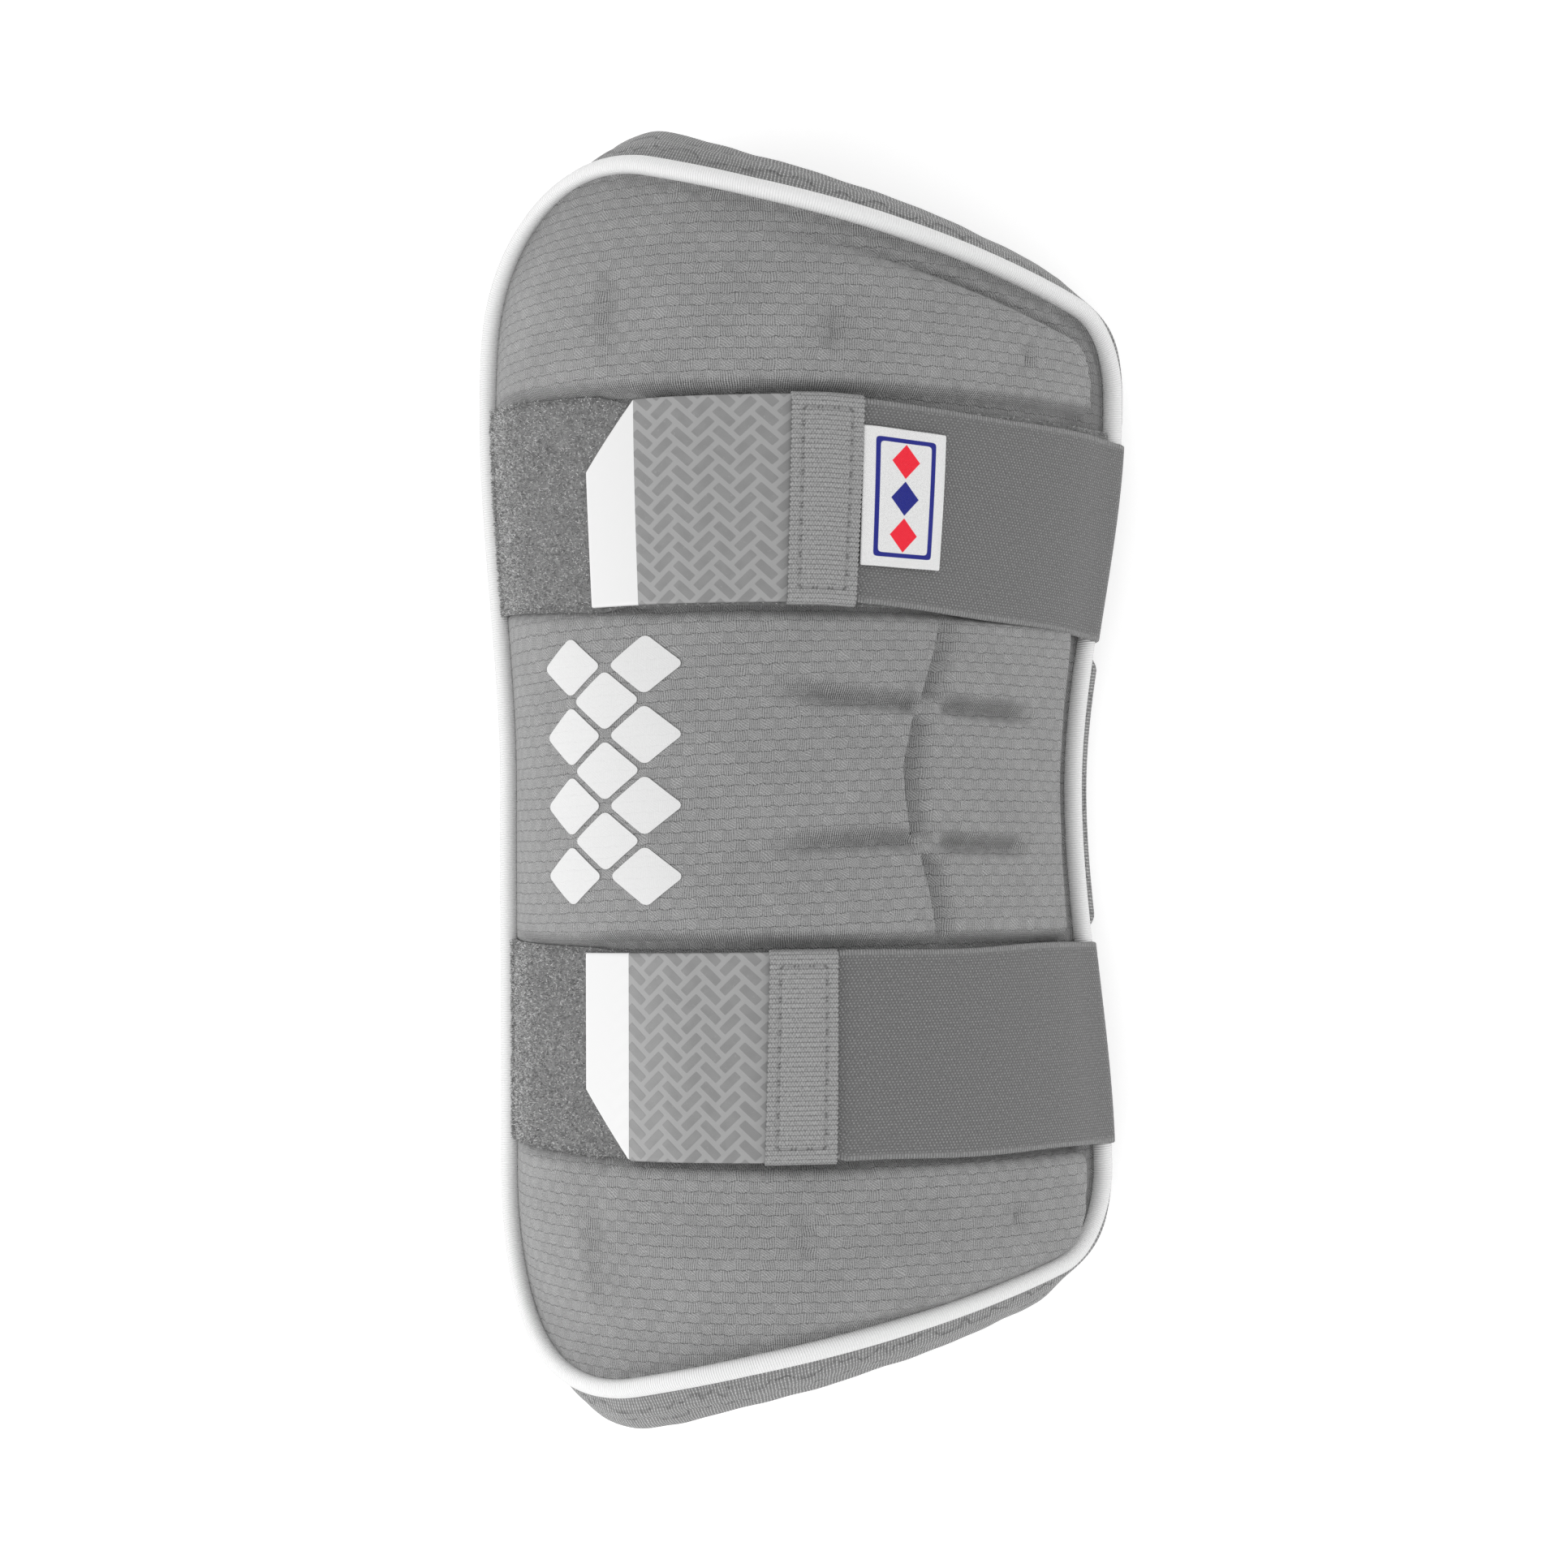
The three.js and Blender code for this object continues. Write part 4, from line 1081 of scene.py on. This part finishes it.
def makeLoopBand(name, strap, cloth, fibre, rng):
    band, s, t = newGrid("loop_band_" + name, loopBand["columns"], loopBand["rows"])
    low, high = rim["left"] + loopBand["fromPiping"], rim["right"] - loopBand["fromPiping"]
    arc = mix(low, high, s)
    half = bandHalf(strap, arc)
    across = mix(-half, half, t)
    nearEdge = np.minimum.reduce([arc - low, high - arc, half - np.abs(across)])
    lift = bandTop(arc) - 0.5 * (1 - smoothRamp(nearEdge, 0, 1.6)) + rng.normal(0, 0.07, len(arc))
    writePoints(band, np.column_stack([arc, strap["y"] + bandShift(strap, arc) + across, lift]) * mm)
    paintUv(band, arc, across)
    applyModifier(band, "SOLIDIFY", thickness=loopBand["thick"] * mm, offset=-1)
    bendPiece(band)
    finishPiece(band, "loop", ["loop_patch_" + name], cloth)

    arc, across = bandSpots(strap, rng)
    count = len(arc)
    heading = rng.uniform(0, 2 * math.pi, count)
    reach = rng.uniform(*loopBand["reach"], count)
    rise = rng.uniform(*loopBand["rise"], count) * mix(2, 1, smoothRamp(arc, rim["left"], rim["left"] + 6))
    root = strap["y"] + bandShift(strap, arc) + across
    paths = []
    for out, up in ((0, -0.2), (0.45, 1.0), (1, 0.5)):
        bow = 0.22 * reach * math.sin(math.pi * out)
        x = arc + out * reach * np.cos(heading) - bow * np.sin(heading)
        y = root + out * reach * np.sin(heading) + bow * np.cos(heading)
        paths.append(np.column_stack([x, y, bandTop(arc) + up * rise]))
    radii = rng.uniform(*loopBand["radius"], count)[:, None] * np.array([1, 1, 0.6])
    hairs = tubesMesh("loop_fibres_" + name, np.stack(paths, 1), radii, 3)
    # a share of the fibres is painted pale, up to white, as painted glints
    paintedGlint = rng.random(count) < loopBand["bright"]
    shade = np.where(paintedGlint, rng.uniform(0.6, 1, count), 0.4 * rng.beta(1, 3, count))
    paintValue(hairs, "shade", np.repeat(shade, 9))
    bendPiece(hairs)
    finishPiece(hairs, "loop", [], fibre)


# Pull tabs: printed film on a stiff strip, its tip bare white and cut off at one corner
tab = {"half": 25.3, "thick": 1.5, "white": 13.1, "cut": 17, "columns": 60, "rows": 44,
       "bars": 3.3, "barGap": 0.62, "rimRound": 0.4, "besideTab": (0.6, 0.4),
       "ground": 152, "bar": 129, "scuff": 170, "tip": 222}


def tabCovers(strap, arc, across):
    inTip = np.clip((strap["tipArc"] + tab["white"] - arc) / tab["white"], 0, 1)
    side = strap["chamferSide"] * (across - strapShift(strap, arc))
    nearTip, nearSide = tab["besideTab"]
    inWidth = (side < tab["half"] - tab["cut"] * inTip + nearSide) & (side > -tab["half"] - nearSide)
    return inWidth & (arc > strap["tipArc"] - nearTip)


# Short bars laid herringbone fashion: 1 on a bar, 0 in the gaps
def herringbone(tree, u, v):
    width = tab["bars"]
    p = calc(tree, "DIVIDE", calc(tree, "ADD", u, v), width * math.sqrt(2))
    q = calc(tree, "DIVIDE", calc(tree, "SUBTRACT", v, u), width * math.sqrt(2))
    i, j = calc(tree, "FLOOR", p), calc(tree, "FLOOR", q)
    inP, inQ = calc(tree, "FRACT", p), calc(tree, "FRACT", q)
    order = calc(tree, "FLOORED_MODULO", calc(tree, "SUBTRACT", i, j), 4.0)
    lying = calc(tree, "LESS_THAN", order, 1.5)
    alongLying = calc(tree, "ADD", inP, order)
    alongStanding = calc(tree, "ADD", inQ, calc(tree, "SUBTRACT", 3.0, order))
    along = addNode(tree, "Mix", {0: lying, 2: alongStanding, 3: alongLying}).outputs[0]
    across = addNode(tree, "Mix", {0: lying, 2: inP, 3: inQ}).outputs[0]
    toEnd = calc(tree, "SUBTRACT", 1.0, calc(tree, "ABSOLUTE", calc(tree, "SUBTRACT", along, 1.0)))
    toSide = calc(tree, "SUBTRACT", 0.5, calc(tree, "ABSOLUTE", calc(tree, "SUBTRACT", across, 0.5)))
    gap = tab["barGap"] / width
    return ramp(tree, calc(tree, "SMOOTH_MIN", toEnd, toSide, 0.15), gap - 0.03, gap + 0.03)


def makeTabFilm():
    material, tree = newMaterial("printedFilm")
    spot, u, v = clothSpot(tree)
    bars = herringbone(tree, u, v)
    scuffs = ramp(tree, noise(tree, spot, 0.9, 4.0, 0.7), 0.6, 0.68)
    bars = calc(tree, "MULTIPLY", bars, calc(tree, "MULTIPLY_ADD", scuffs, -0.45, 1.0))
    grain = noise(tree, spot, 0.25, 2.0)
    printed = blendTones(tree, bars, tone(tab["ground"]), tone(tab["bar"]))
    printed = blendTones(tree, ramp(tree, grain, 0.3, 0.7, 0.0, 0.12), printed, tone(tab["scuff"]))
    isWhite = calc(tree, "LESS_THAN", u, tab["white"])
    colour = blendTones(tree, isWhite, printed, tone(tab["tip"]))
    rough = calc(tree, "MULTIPLY_ADD", bars, -0.1, 0.46)
    height = calc(tree, "MULTIPLY", bars, calc(tree, "SUBTRACT", 1.0, isWhite))
    setSurface(tree, colour, height, 0.05, rough, specular=0.4)
    return material


def makeTab(name, strap, film):
    piece, s, t = newGrid("pull_tab_film_" + name, tab["columns"], tab["rows"])
    arc = mix(strap["tipArc"], strap["sleeveArc"] - 0.3, s)
    inTip = np.clip((strap["tipArc"] + tab["white"] - arc) / tab["white"], 0, 1)
    plain, cut = -tab["half"], tab["half"] - tab["cut"] * inTip
    across = strap["chamferSide"] * mix(plain, cut, t)
    y = strap["y"] + strapShift(strap, arc) + across
    lift = strapLift(strap, arc) - tab["thick"] / 2
    writePoints(piece, np.column_stack([arc, y, lift]) * mm)
    paintUv(piece, arc - strap["tipArc"], across)
    closeSeams(piece)
    faceUp(piece)
    applyModifier(piece, "SOLIDIFY", thickness=tab["thick"] * mm, offset=1)
    bevelRims(piece, tab["rimRound"], 2)
    bendPiece(piece)
    finishPiece(piece, "film", ["pull_tab_" + name], film)


# A flat sheet in the layout shows its faces upwards before it gets its thickness
def faceUp(piece):
    if sum(face.normal.z for face in piece.data.polygons) < 0:
        piece.data.flip_normals()


# Elastic straps: from the sleeve over the right edge, along the floor, and up to the sewn end on the left
elastic = {"half": 25.2, "thick": 1.3, "along": 210, "across": 44, "start": 0.3,
           "bendArc": -86, "topArc": -58, "sewnLift": -13.1,
           "overTilt": 98, "edgeRadius": 2.9, "floorRadius": 6,  # how it turns down over the right edge
           "pitch": 0.92, "rowPitch": 0.68, "selvedge": 1.3, "edgeRibs": 0.75, "rimRound": 0.5,
           "dark": 88, "light": 158}


def strapRoute(strap):
    half = elastic["thick"] / 2
    start = strap["sleeveArc"] + elastic["start"]
    rightTilt, sewnTilt = float(section(rim["right"])[2]), float(section(elastic["bendArc"])[2])
    overTilt = math.radians(elastic["overTilt"])
    edgeRadius, floorRadius = elastic["edgeRadius"], elastic["floorRadius"]
    rightTop = place(rim["right"], strap["y"], strapLift(strap, rim["right"]))
    leftTop = place(elastic["bendArc"], strap["y"], elastic["sewnLift"])
    drop = rightTop[2] - half - edgeRadius * (math.cos(rightTilt) - math.cos(overTilt))
    drop = drop - floorRadius * (math.cos(overTilt) + 1)
    down = [  # length, tilt at its start and end
        (edgeRadius * (overTilt - rightTilt), rightTilt, overTilt),
        (drop / math.sin(overTilt), overTilt, overTilt),
        (floorRadius * (math.pi - overTilt), overTilt, math.pi),
    ]
    leftRadius = (leftTop[2] - half) / (1 + math.cos(sewnTilt))
    up = [(leftRadius * (sewnTilt + math.pi), -math.pi, sewnTilt)]
    downLength = sum(row[0] for row in down)
    floorRight = rightTop[0] + bent(np.array(downLength), down)[0]
    floorLeft = leftTop[0] - leftRadius * math.sin(sewnTilt)
    lengths = [rim["right"] - start, downLength, floorRight - floorLeft, up[0][0],
               elastic["topArc"] - elastic["bendArc"]]
    return {"start": start, "down": down, "up": up, "stops": np.append(0, np.cumsum(lengths))}


# Follows bends and straight runs one after the other: how far across, how far up, and the tilt there
def bent(run, bends):
    x, z, tilt = 0 * run, 0 * run, 0 * run + bends[0][1]
    for length, start, stop in bends:
        part = np.clip(run, 0, length)
        turn = start + (stop - start) * part / length
        if start == stop:
            x = x + part * math.cos(start)
            z = z - part * math.sin(start)
        else:
            radius = length / (stop - start)
            x = x + radius * (np.sin(turn) - math.sin(start))
            z = z + radius * (np.cos(turn) - math.cos(start))
        tilt = np.where(run > 0, turn, tilt)
        run = run - length
    return x, z, tilt


def strapSpots(strap, route, run, across, lift):
    stops = route["stops"]
    share = [np.clip((run - a) / (b - a), 0, 1) for a, b in zip(stops, stops[1:])]
    right = rim["right"]
    edgeShift = strapShift(strap, right)
    arc = mix(route["start"], right, share[0])
    y = strap["y"] + across + np.where(run < stops[1], strapShift(strap, arc), edgeShift * (1 - share[2]))
    sewnArc = mix(elastic["bendArc"], elastic["topArc"], share[4])
    onFace = place(arc, y, strapLift(strap, arc))
    x, z, downTilt = bent(np.clip(run, stops[1], stops[2]) - stops[1], route["down"])
    overEdge = place(right, y, strapLift(strap, right)) + np.stack([x, 0 * x, z], -1)
    x, z, upTilt = bent(np.clip(run, stops[3], stops[4]) - stops[3], route["up"])
    whole = bent(np.array(stops[4] - stops[3]), route["up"])
    upLeft = place(elastic["bendArc"], y, elastic["sewnLift"])
    upLeft = upLeft + np.stack([x - whole[0], 0 * x, z - whole[1]], -1)
    onFloor = mix(overEdge, upLeft, share[2][:, None])
    sewn = place(sewnArc, y, elastic["sewnLift"])
    part = np.clip(np.searchsorted(stops, run, side="right") - 1, 0, 4)
    spots = np.choose(part[:, None], [onFace, overEdge, onFloor, upLeft, sewn])
    tilts = np.choose(part, [section(arc)[2], downTilt, 0 * run + math.pi, upTilt, section(sewnArc)[2]])
    return spots + lift[:, None] * np.stack([np.sin(tilts), 0 * tilts, np.cos(tilts)], -1)


def makeElasticCloth():
    material, tree = newMaterial("wovenElastic")
    spot, along, across = clothSpot(tree)
    dash = useGroup(tree, dashRows, {
        "Along": along, "Across": across, "Pitch": elastic["pitch"], "RowPitch": elastic["rowPitch"],
        "Share": 0.5, "RowShift": 0.36})
    fibres = useGroup(tree, fibreMottle, {"Spot": spot, "Fineness": 2.6})
    fromEdge = calc(tree, "SUBTRACT", elastic["half"], calc(tree, "ABSOLUTE", across))
    isEdge = ramp(tree, fromEdge, elastic["selvedge"] - 0.4, elastic["selvedge"] + 0.4, 1.0, 0.0)
    edgeRibs = wave(tree, along, elastic["edgeRibs"])
    toEdge = calc(tree, "SUBTRACT", edgeRibs, dash["Dash"])
    threads = calc(tree, "MULTIPLY_ADD", toEdge, isEdge, dash["Dash"])
    uneven = ramp(tree, noise(tree, spot, 1.3, 2.0), 0.3, 0.65, 0.3, 1.0)
    lit = calc(tree, "MULTIPLY", threads, uneven)
    share = calc(tree, "MULTIPLY_ADD", lit, 0.65, calc(tree, "MULTIPLY_ADD", fibres["Fibres"], 0.6, -0.12))
    share = calc(tree, "MULTIPLY_ADD", isEdge, 0.1, share)
    colour = blendTones(tree, share, tone(elastic["dark"]), tone(elastic["light"]))
    setSurface(tree, colour, threads, 0.2, 0.72, sheen=0.05)
    return material


def makeStrap(name, strap, cloth):
    piece, s, t = newGrid("elastic_" + name, elastic["along"], elastic["across"])
    route = strapRoute(strap)
    length = route["stops"][-1]
    run, across = s * length, mix(-elastic["half"], elastic["half"], t)
    writePoints(piece, np.column_stack([run, across, 0 * run]) * mm)
    paintUv(piece, run, across)
    applyModifier(piece, "SOLIDIFY", thickness=elastic["thick"] * mm, offset=0)
    bevelRims(piece, elastic["rimRound"], 3)
    run, across, lift = (readPoints(piece) / mm).T
    atSleeve, atEdge = (half / elastic["half"] for half in strap["halves"])
    inSlot = (sleeve["slotHalf"] + 0.8) / elastic["half"]
    across = across * mix(inSlot, mix(atSleeve, atEdge, smoothRamp(run, 10, 90)), smoothRamp(run, 6.8, 9.5))
    across = across + 0.25 * np.sin(run / 9) * np.abs(across / elastic["half"]) ** 6
    writePoints(piece, strapSpots(strap, route, np.clip(run, 0, length), across, lift) * mm)
    finishPiece(piece, "elastic", ["strap_" + name], cloth)
    print("strap", name, "is", round(float(length)), "mm long")


# Webbing sleeves round the joint of elastic and tab
sleeve = {"width": 15.6, "wall": 0.8, "slotHalf": 23.9, "radius": 1.95, "around": 368, "along": 36,
          "ribs": 92, "ribRise": 0.07, "scallop": 0.28, "stitchIn": 2.5, "stitchEnd": 2,
          "stitch": 4.1, "stitchRadius": 0.16, "hole": 0.5, "dash": 0.64,
          "dark": 113, "light": 192, "holeShadeTone": 60, "threadDark": 116, "threadLight": 166}


def sleeveProfile(w):
    flat, radius = 2 * sleeve["slotHalf"], sleeve["radius"]
    fold = math.pi * radius
    part = np.clip(np.searchsorted([flat, flat + fold, 2 * flat + fold], w, side="right"), 0, 3)
    turn = np.where(part == 1, w - flat, w - 2 * flat - fold) / radius
    half = sleeve["slotHalf"]
    across = np.choose(part, [w - half, half + 0 * w, half + flat + fold - w, -half + 0 * w])
    out = np.choose(part, [0 * w, np.sin(turn), 0 * w, -np.sin(turn)])
    up = np.choose(part, [1 + 0 * w, np.cos(turn), -1 + 0 * w, -np.cos(turn)])
    return across, out, up


def seamHalves():
    return sleeve["width"] / 2 - sleeve["stitchIn"], sleeve["slotHalf"] - sleeve["stitchEnd"]


# Both ends of each stitch of the box seam, in the sleeve's own flat measures
def boxSeam():
    halfArc, halfY = seamHalves()
    stitches = []
    for start, stop in [((-1, -1), (1, -1)), ((1, -1), (1, 1)), ((1, 1), (-1, 1)), ((-1, 1), (-1, -1))]:
        start, stop = np.array(start) * [halfArc, halfY], np.array(stop) * [halfArc, halfY]
        count = round(np.linalg.norm(stop - start) / sleeve["stitch"])
        for k in range(count):
            stitches.append((mix(start, stop, (k + 0.12) / count), mix(start, stop, (k + 0.88) / count)))
    return np.array(stitches)


def makeWebbing():
    material, tree = newMaterial("ribbedWebbing")
    spot, along, around = clothSpot(tree)
    pitch = sleevePerimeter() / sleeve["ribs"]
    ribs = wave(tree, around, pitch)
    dash = useGroup(tree, dashRows, {
        "Along": along, "Across": around, "Pitch": sleeve["dash"], "RowPitch": pitch / 2,
        "Share": 0.55, "RowShift": 0.5})
    fibres = useGroup(tree, fibreMottle, {"Spot": spot, "Fineness": 2.6})
    share = calc(tree, "MULTIPLY_ADD", ribs, 0.24, calc(tree, "MULTIPLY_ADD", dash["Dash"], 0.38, 0.12))
    share = calc(tree, "MULTIPLY_ADD", calc(tree, "SUBTRACT", fibres["Fibres"], 0.5), 1.3, share)
    colour = blendTones(tree, share, tone(sleeve["dark"]), tone(sleeve["light"]))
    # painted shade in the stitch holes
    holeShade = calc(tree, "MULTIPLY", attribute(tree, "hole"), 0.75)
    colour = blendTones(tree, holeShade, colour, tone(sleeve["holeShadeTone"]))
    height = calc(tree, "MULTIPLY_ADD", dash["Dash"], 0.7, fibres["Fibres"])
    setSurface(tree, colour, height, 0.15, 0.78, sheen=0.06)
    return material


def makeThread():
    material, tree = newMaterial("sewingThread")
    spot = addNode(tree, "TexCoord", {}).outputs["Object"]
    twist = noise(tree, spot, 2600.0, 2.0)
    colour = blendTones(tree, twist, tone(sleeve["threadDark"]), tone(sleeve["threadLight"]))
    setSurface(tree, colour, twist, 0.08, 0.7)
    return material


def sleevePerimeter():
    return 4 * sleeve["slotHalf"] + 2 * math.pi * sleeve["radius"]


def makeSleeve(name, strap, webbing, thread):
    piece, s, t = newGrid("webbing_sleeve_" + name, sleeve["along"], sleeve["around"])
    seam = boxSeam()
    w = t * sleevePerimeter()
    across, out, up = sleeveProfile(w)
    rib = 0.5 + 0.5 * np.cos(t * sleeve["ribs"] * 2 * math.pi)
    side = 2 * s - 1
    local = side * (sleeve["width"] / 2 + sleeve["scallop"] * (rib - 0.5) * side ** 8)
    onTop = (up > 0.99) & (np.abs(across) < sleeve["slotHalf"])
    halfArc, halfY = seamHalves()
    toSeam = np.abs(np.maximum((np.abs(local) - halfArc), (np.abs(across) - halfY)))
    pressed = np.where(onTop, 0.28 * np.exp(-(toSeam / 0.7) ** 2), 0)
    radius = sleeve["radius"] + sleeve["ribRise"] * rib - pressed
    arc = strap["sleeveArc"] + local + strap["lean"] * across
    y = strap["y"] + strapShift(strap, arc) + across + out * radius
    writePoints(piece, np.column_stack([arc, y, heights["sleeve"] + up * radius]) * mm)
    paintUv(piece, local, w)
    # marks the stitch holes for painted shade
    ends = seam.reshape(-1, 2)
    gap = np.hypot(local[:, None] - ends[:, 0], across[:, None] - ends[:, 1]).min(1)
    paintValue(piece, "hole", np.where(onTop, 1 - smoothRamp(gap, 0.2, sleeve["hole"]), 0))
    closeSeams(piece)
    applyModifier(piece, "SOLIDIFY", thickness=sleeve["wall"] * mm, offset=-1)
    bendPiece(piece)
    finishPiece(piece, "webbing", ["strap_sleeve_" + name], webbing)

    shares = np.array([0, 0.12, 0.5, 0.88, 1])
    dips = np.array([-0.5, -0.3, -0.18, -0.3, -0.5])
    local = mix(seam[:, None, 0, 0], seam[:, None, 1, 0], shares)
    across = mix(seam[:, None, 0, 1], seam[:, None, 1, 1], shares)
    arc = strap["sleeveArc"] + local + strap["lean"] * across
    y = strap["y"] + strapShift(strap, arc) + across
    lift = heights["sleeve"] + sleeve["radius"] + dips + 0 * arc
    sewStitches("sleeve_stitches_" + name, np.stack([arc, y, lift], -1), "webbing", thread)


def sewStitches(name, paths, slot, thread):
    thickness = np.array([0.6, 1, 1.1, 1, 0.6]) * sleeve["stitchRadius"]
    sewn = tubesMesh(name, paths, np.broadcast_to(thickness, paths.shape[:2]), 8)
    bendPiece(sewn)
    finishPiece(sewn, slot, [], thread)


# Stitches that hold the strap's end inside the left edge
def makeEndStitches(name, strap, thread):
    starts = []
    for arc in (elastic["bendArc"] + 3, elastic["topArc"] - 3):
        for across in np.arange(-elastic["half"] + 3, elastic["half"] - 4, sleeve["stitch"]):
            starts.append((arc, strap["y"] + across))
    starts = np.array(starts)
    shares = np.array([0.1, 0.25, 0.5, 0.75, 0.9]) * sleeve["stitch"]
    dips = np.array([0.35, -0.1, -0.25, -0.1, 0.35])
    arc = starts[:, :1] + 0 * shares
    lift = elastic["sewnLift"] - elastic["thick"] / 2 + dips + 0 * arc
    paths = np.stack([arc, starts[:, 1:] + shares, lift], -1)
    sewStitches("end_stitches_" + name, paths, "elastic", thread)


# White woven label on the upper elastic, with a plain frame and three lozenges
label = {"arc": 23.5, "width": 20.7, "lean": -0.01, "y": 70.8, "height": 34.5, "thick": 0.8, "gap": 0.3,
         "rimRound": 0.35, "frame": (7.0, 14.3), "line": 0.55, "lozenge": (3.6, 4.3), "spacing": 9.2,
         "dark": 218, "light": 246,
         "red": (0.93, 0.011, 0.035, 1), "navy": (0.006, 0.012, 0.24, 1)}


def makeLabelCloth():
    material, tree = newMaterial("wovenLabel")
    spot, u, v = clothSpot(tree)
    twill = wave(tree, calc(tree, "MULTIPLY_ADD", v, 0.8, u), 0.45)
    grain = noise(tree, spot, 2.2, 3.0)
    share = calc(tree, "MULTIPLY_ADD", twill, 0.3, calc(tree, "MULTIPLY", grain, 0.8))
    ground = blendTones(tree, share, tone(label["dark"]), tone(label["light"]))
    halfU, halfV = label["frame"]
    offU = calc(tree, "SUBTRACT", calc(tree, "ABSOLUTE", u), halfU)
    offV = calc(tree, "SUBTRACT", calc(tree, "ABSOLUTE", v), halfV)
    toFrame = calc(tree, "ABSOLUTE", calc(tree, "SMOOTH_MAX", offU, offV, 1.5))
    inFrame = ramp(tree, toFrame, label["line"] - 0.08, label["line"] + 0.08, 1.0, 0.0)
    colour = blendTones(tree, inFrame, ground, label["navy"])
    lozengeU, lozengeV = label["lozenge"]
    for step, ink in ((-1, "red"), (0, "navy"), (1, "red")):
        shareU = calc(tree, "DIVIDE", calc(tree, "ABSOLUTE", u), lozengeU)
        fromMiddle = calc(tree, "ABSOLUTE", calc(tree, "SUBTRACT", v, step * label["spacing"]))
        spread = calc(tree, "MULTIPLY_ADD", fromMiddle, 1 / lozengeV, shareU)
        colour = blendTones(tree, ramp(tree, spread, 0.97, 1.03, 1.0, 0.0), colour, label[ink])
    setSurface(tree, colour, calc(tree, "ADD", twill, grain), 0.1, 0.6, sheen=0.05)
    return material


def makeLabel(strap):
    piece, s, t = newGrid("label_patch", 48, 80)
    across = mix(-label["height"] / 2, label["height"] / 2, t)
    arc = label["arc"] + s * label["width"] + label["lean"] * across
    y = label["y"] + strapShift(strap, arc) * mix(0.4, 1.1, t) + across
    onStrap = elastic["thick"] / 2 + label["gap"]
    pillow = 0.25 * smoothRamp(np.minimum.reduce([s, 1 - s]) * label["width"], 0, 3)
    lift = strapLift(strap, arc) + onStrap + pillow
    writePoints(piece, np.column_stack([arc, y, lift]) * mm)
    paintUv(piece, (s - 0.5) * label["width"], across)
    applyModifier(piece, "SOLIDIFY", thickness=label["thick"] * mm, offset=1)
    bevelRims(piece, label["rimRound"], 3)
    bendPiece(piece)
    finishPiece(piece, "label", ["woven_label"], makeLabelCloth())


def makeStraps():
    loopCloth, loopFibre = makeLoopCloth(), makeLoopFibre()
    film, elasticCloth = makeTabFilm(), makeElasticCloth()
    webbing, thread = makeWebbing(), makeThread()
    rng = np.random.default_rng(7)
    for name, strap in straps.items():
        makeLoopBand(name, strap, loopCloth, loopFibre, rng)
        makeTab(name, strap, film)
        makeStrap(name, strap, elasticCloth)
        makeSleeve(name, strap, webbing, thread)
        makeEndStitches(name, strap, thread)
    makeLabel(straps["upper"])


makeStraps()
print("straps done")


# Stage
stage = {"cameraHeight": 734, "cameraSpot": (-7.386, -22.717), "tilt": 1.692, "lens": 63.07,
         "floorSize": 24, "floorGap": 0.1, "floorTone": 250, "floorGlow": 0.3, "world": 0.87,
         "lamps": [("key", (-0.95, -0.42, 0.58), 0.8, 5.0), ("fill", (0.95, -0.25, 0.36), 0.8, 1.8)]}
# a lamp's name, place and size in metres, and its watts


def makeStage():
    bpy.ops.object.select_all(action="DESELECT")
    bpy.ops.mesh.primitive_plane_add(size=stage["floorSize"], location=(0, 0, -stage["floorGap"] * mm))
    floor = bpy.context.object
    floor.name = "floor"
    material, tree = newMaterial("paleFloor")
    surface = tree.nodes["Principled BSDF"]
    surface.inputs["Base Color"].default_value = tone(stage["floorTone"])
    surface.inputs["Roughness"].default_value = 0.9
    surface.inputs["Emission Color"].default_value = (1, 1, 1, 1)
    surface.inputs["Emission Strength"].default_value = stage["floorGlow"]
    floor.data.materials.append(material)
    world = bpy.data.worlds.new("studio")
    world.use_nodes = True
    backdrop = world.node_tree.nodes["Background"]
    backdrop.inputs["Color"].default_value = (1, 1, 1, 1)
    backdrop.inputs["Strength"].default_value = stage["world"]
    bpy.context.scene.world = world
    for name, spot, size, watts in stage["lamps"]:
        bpy.ops.object.light_add(type="AREA", location=spot)
        lamp = bpy.context.object
        lamp.name = name
        lamp.data.shape = "DISK"
        lamp.data.size = size
        lamp.data.energy = watts
        lamp.rotation_euler = (-lamp.location).to_track_quat("-Z", "Y").to_euler()
    bpy.ops.object.camera_add()
    camera = bpy.context.object
    camera.location = [value * mm for value in (*stage["cameraSpot"], stage["cameraHeight"])]
    camera.rotation_euler = (math.radians(stage["tilt"]), 0, 0)
    camera.data.lens = stage["lens"]
    bpy.context.scene.camera = camera
    bpy.context.scene.view_settings.view_transform = "Standard"


makeStage()
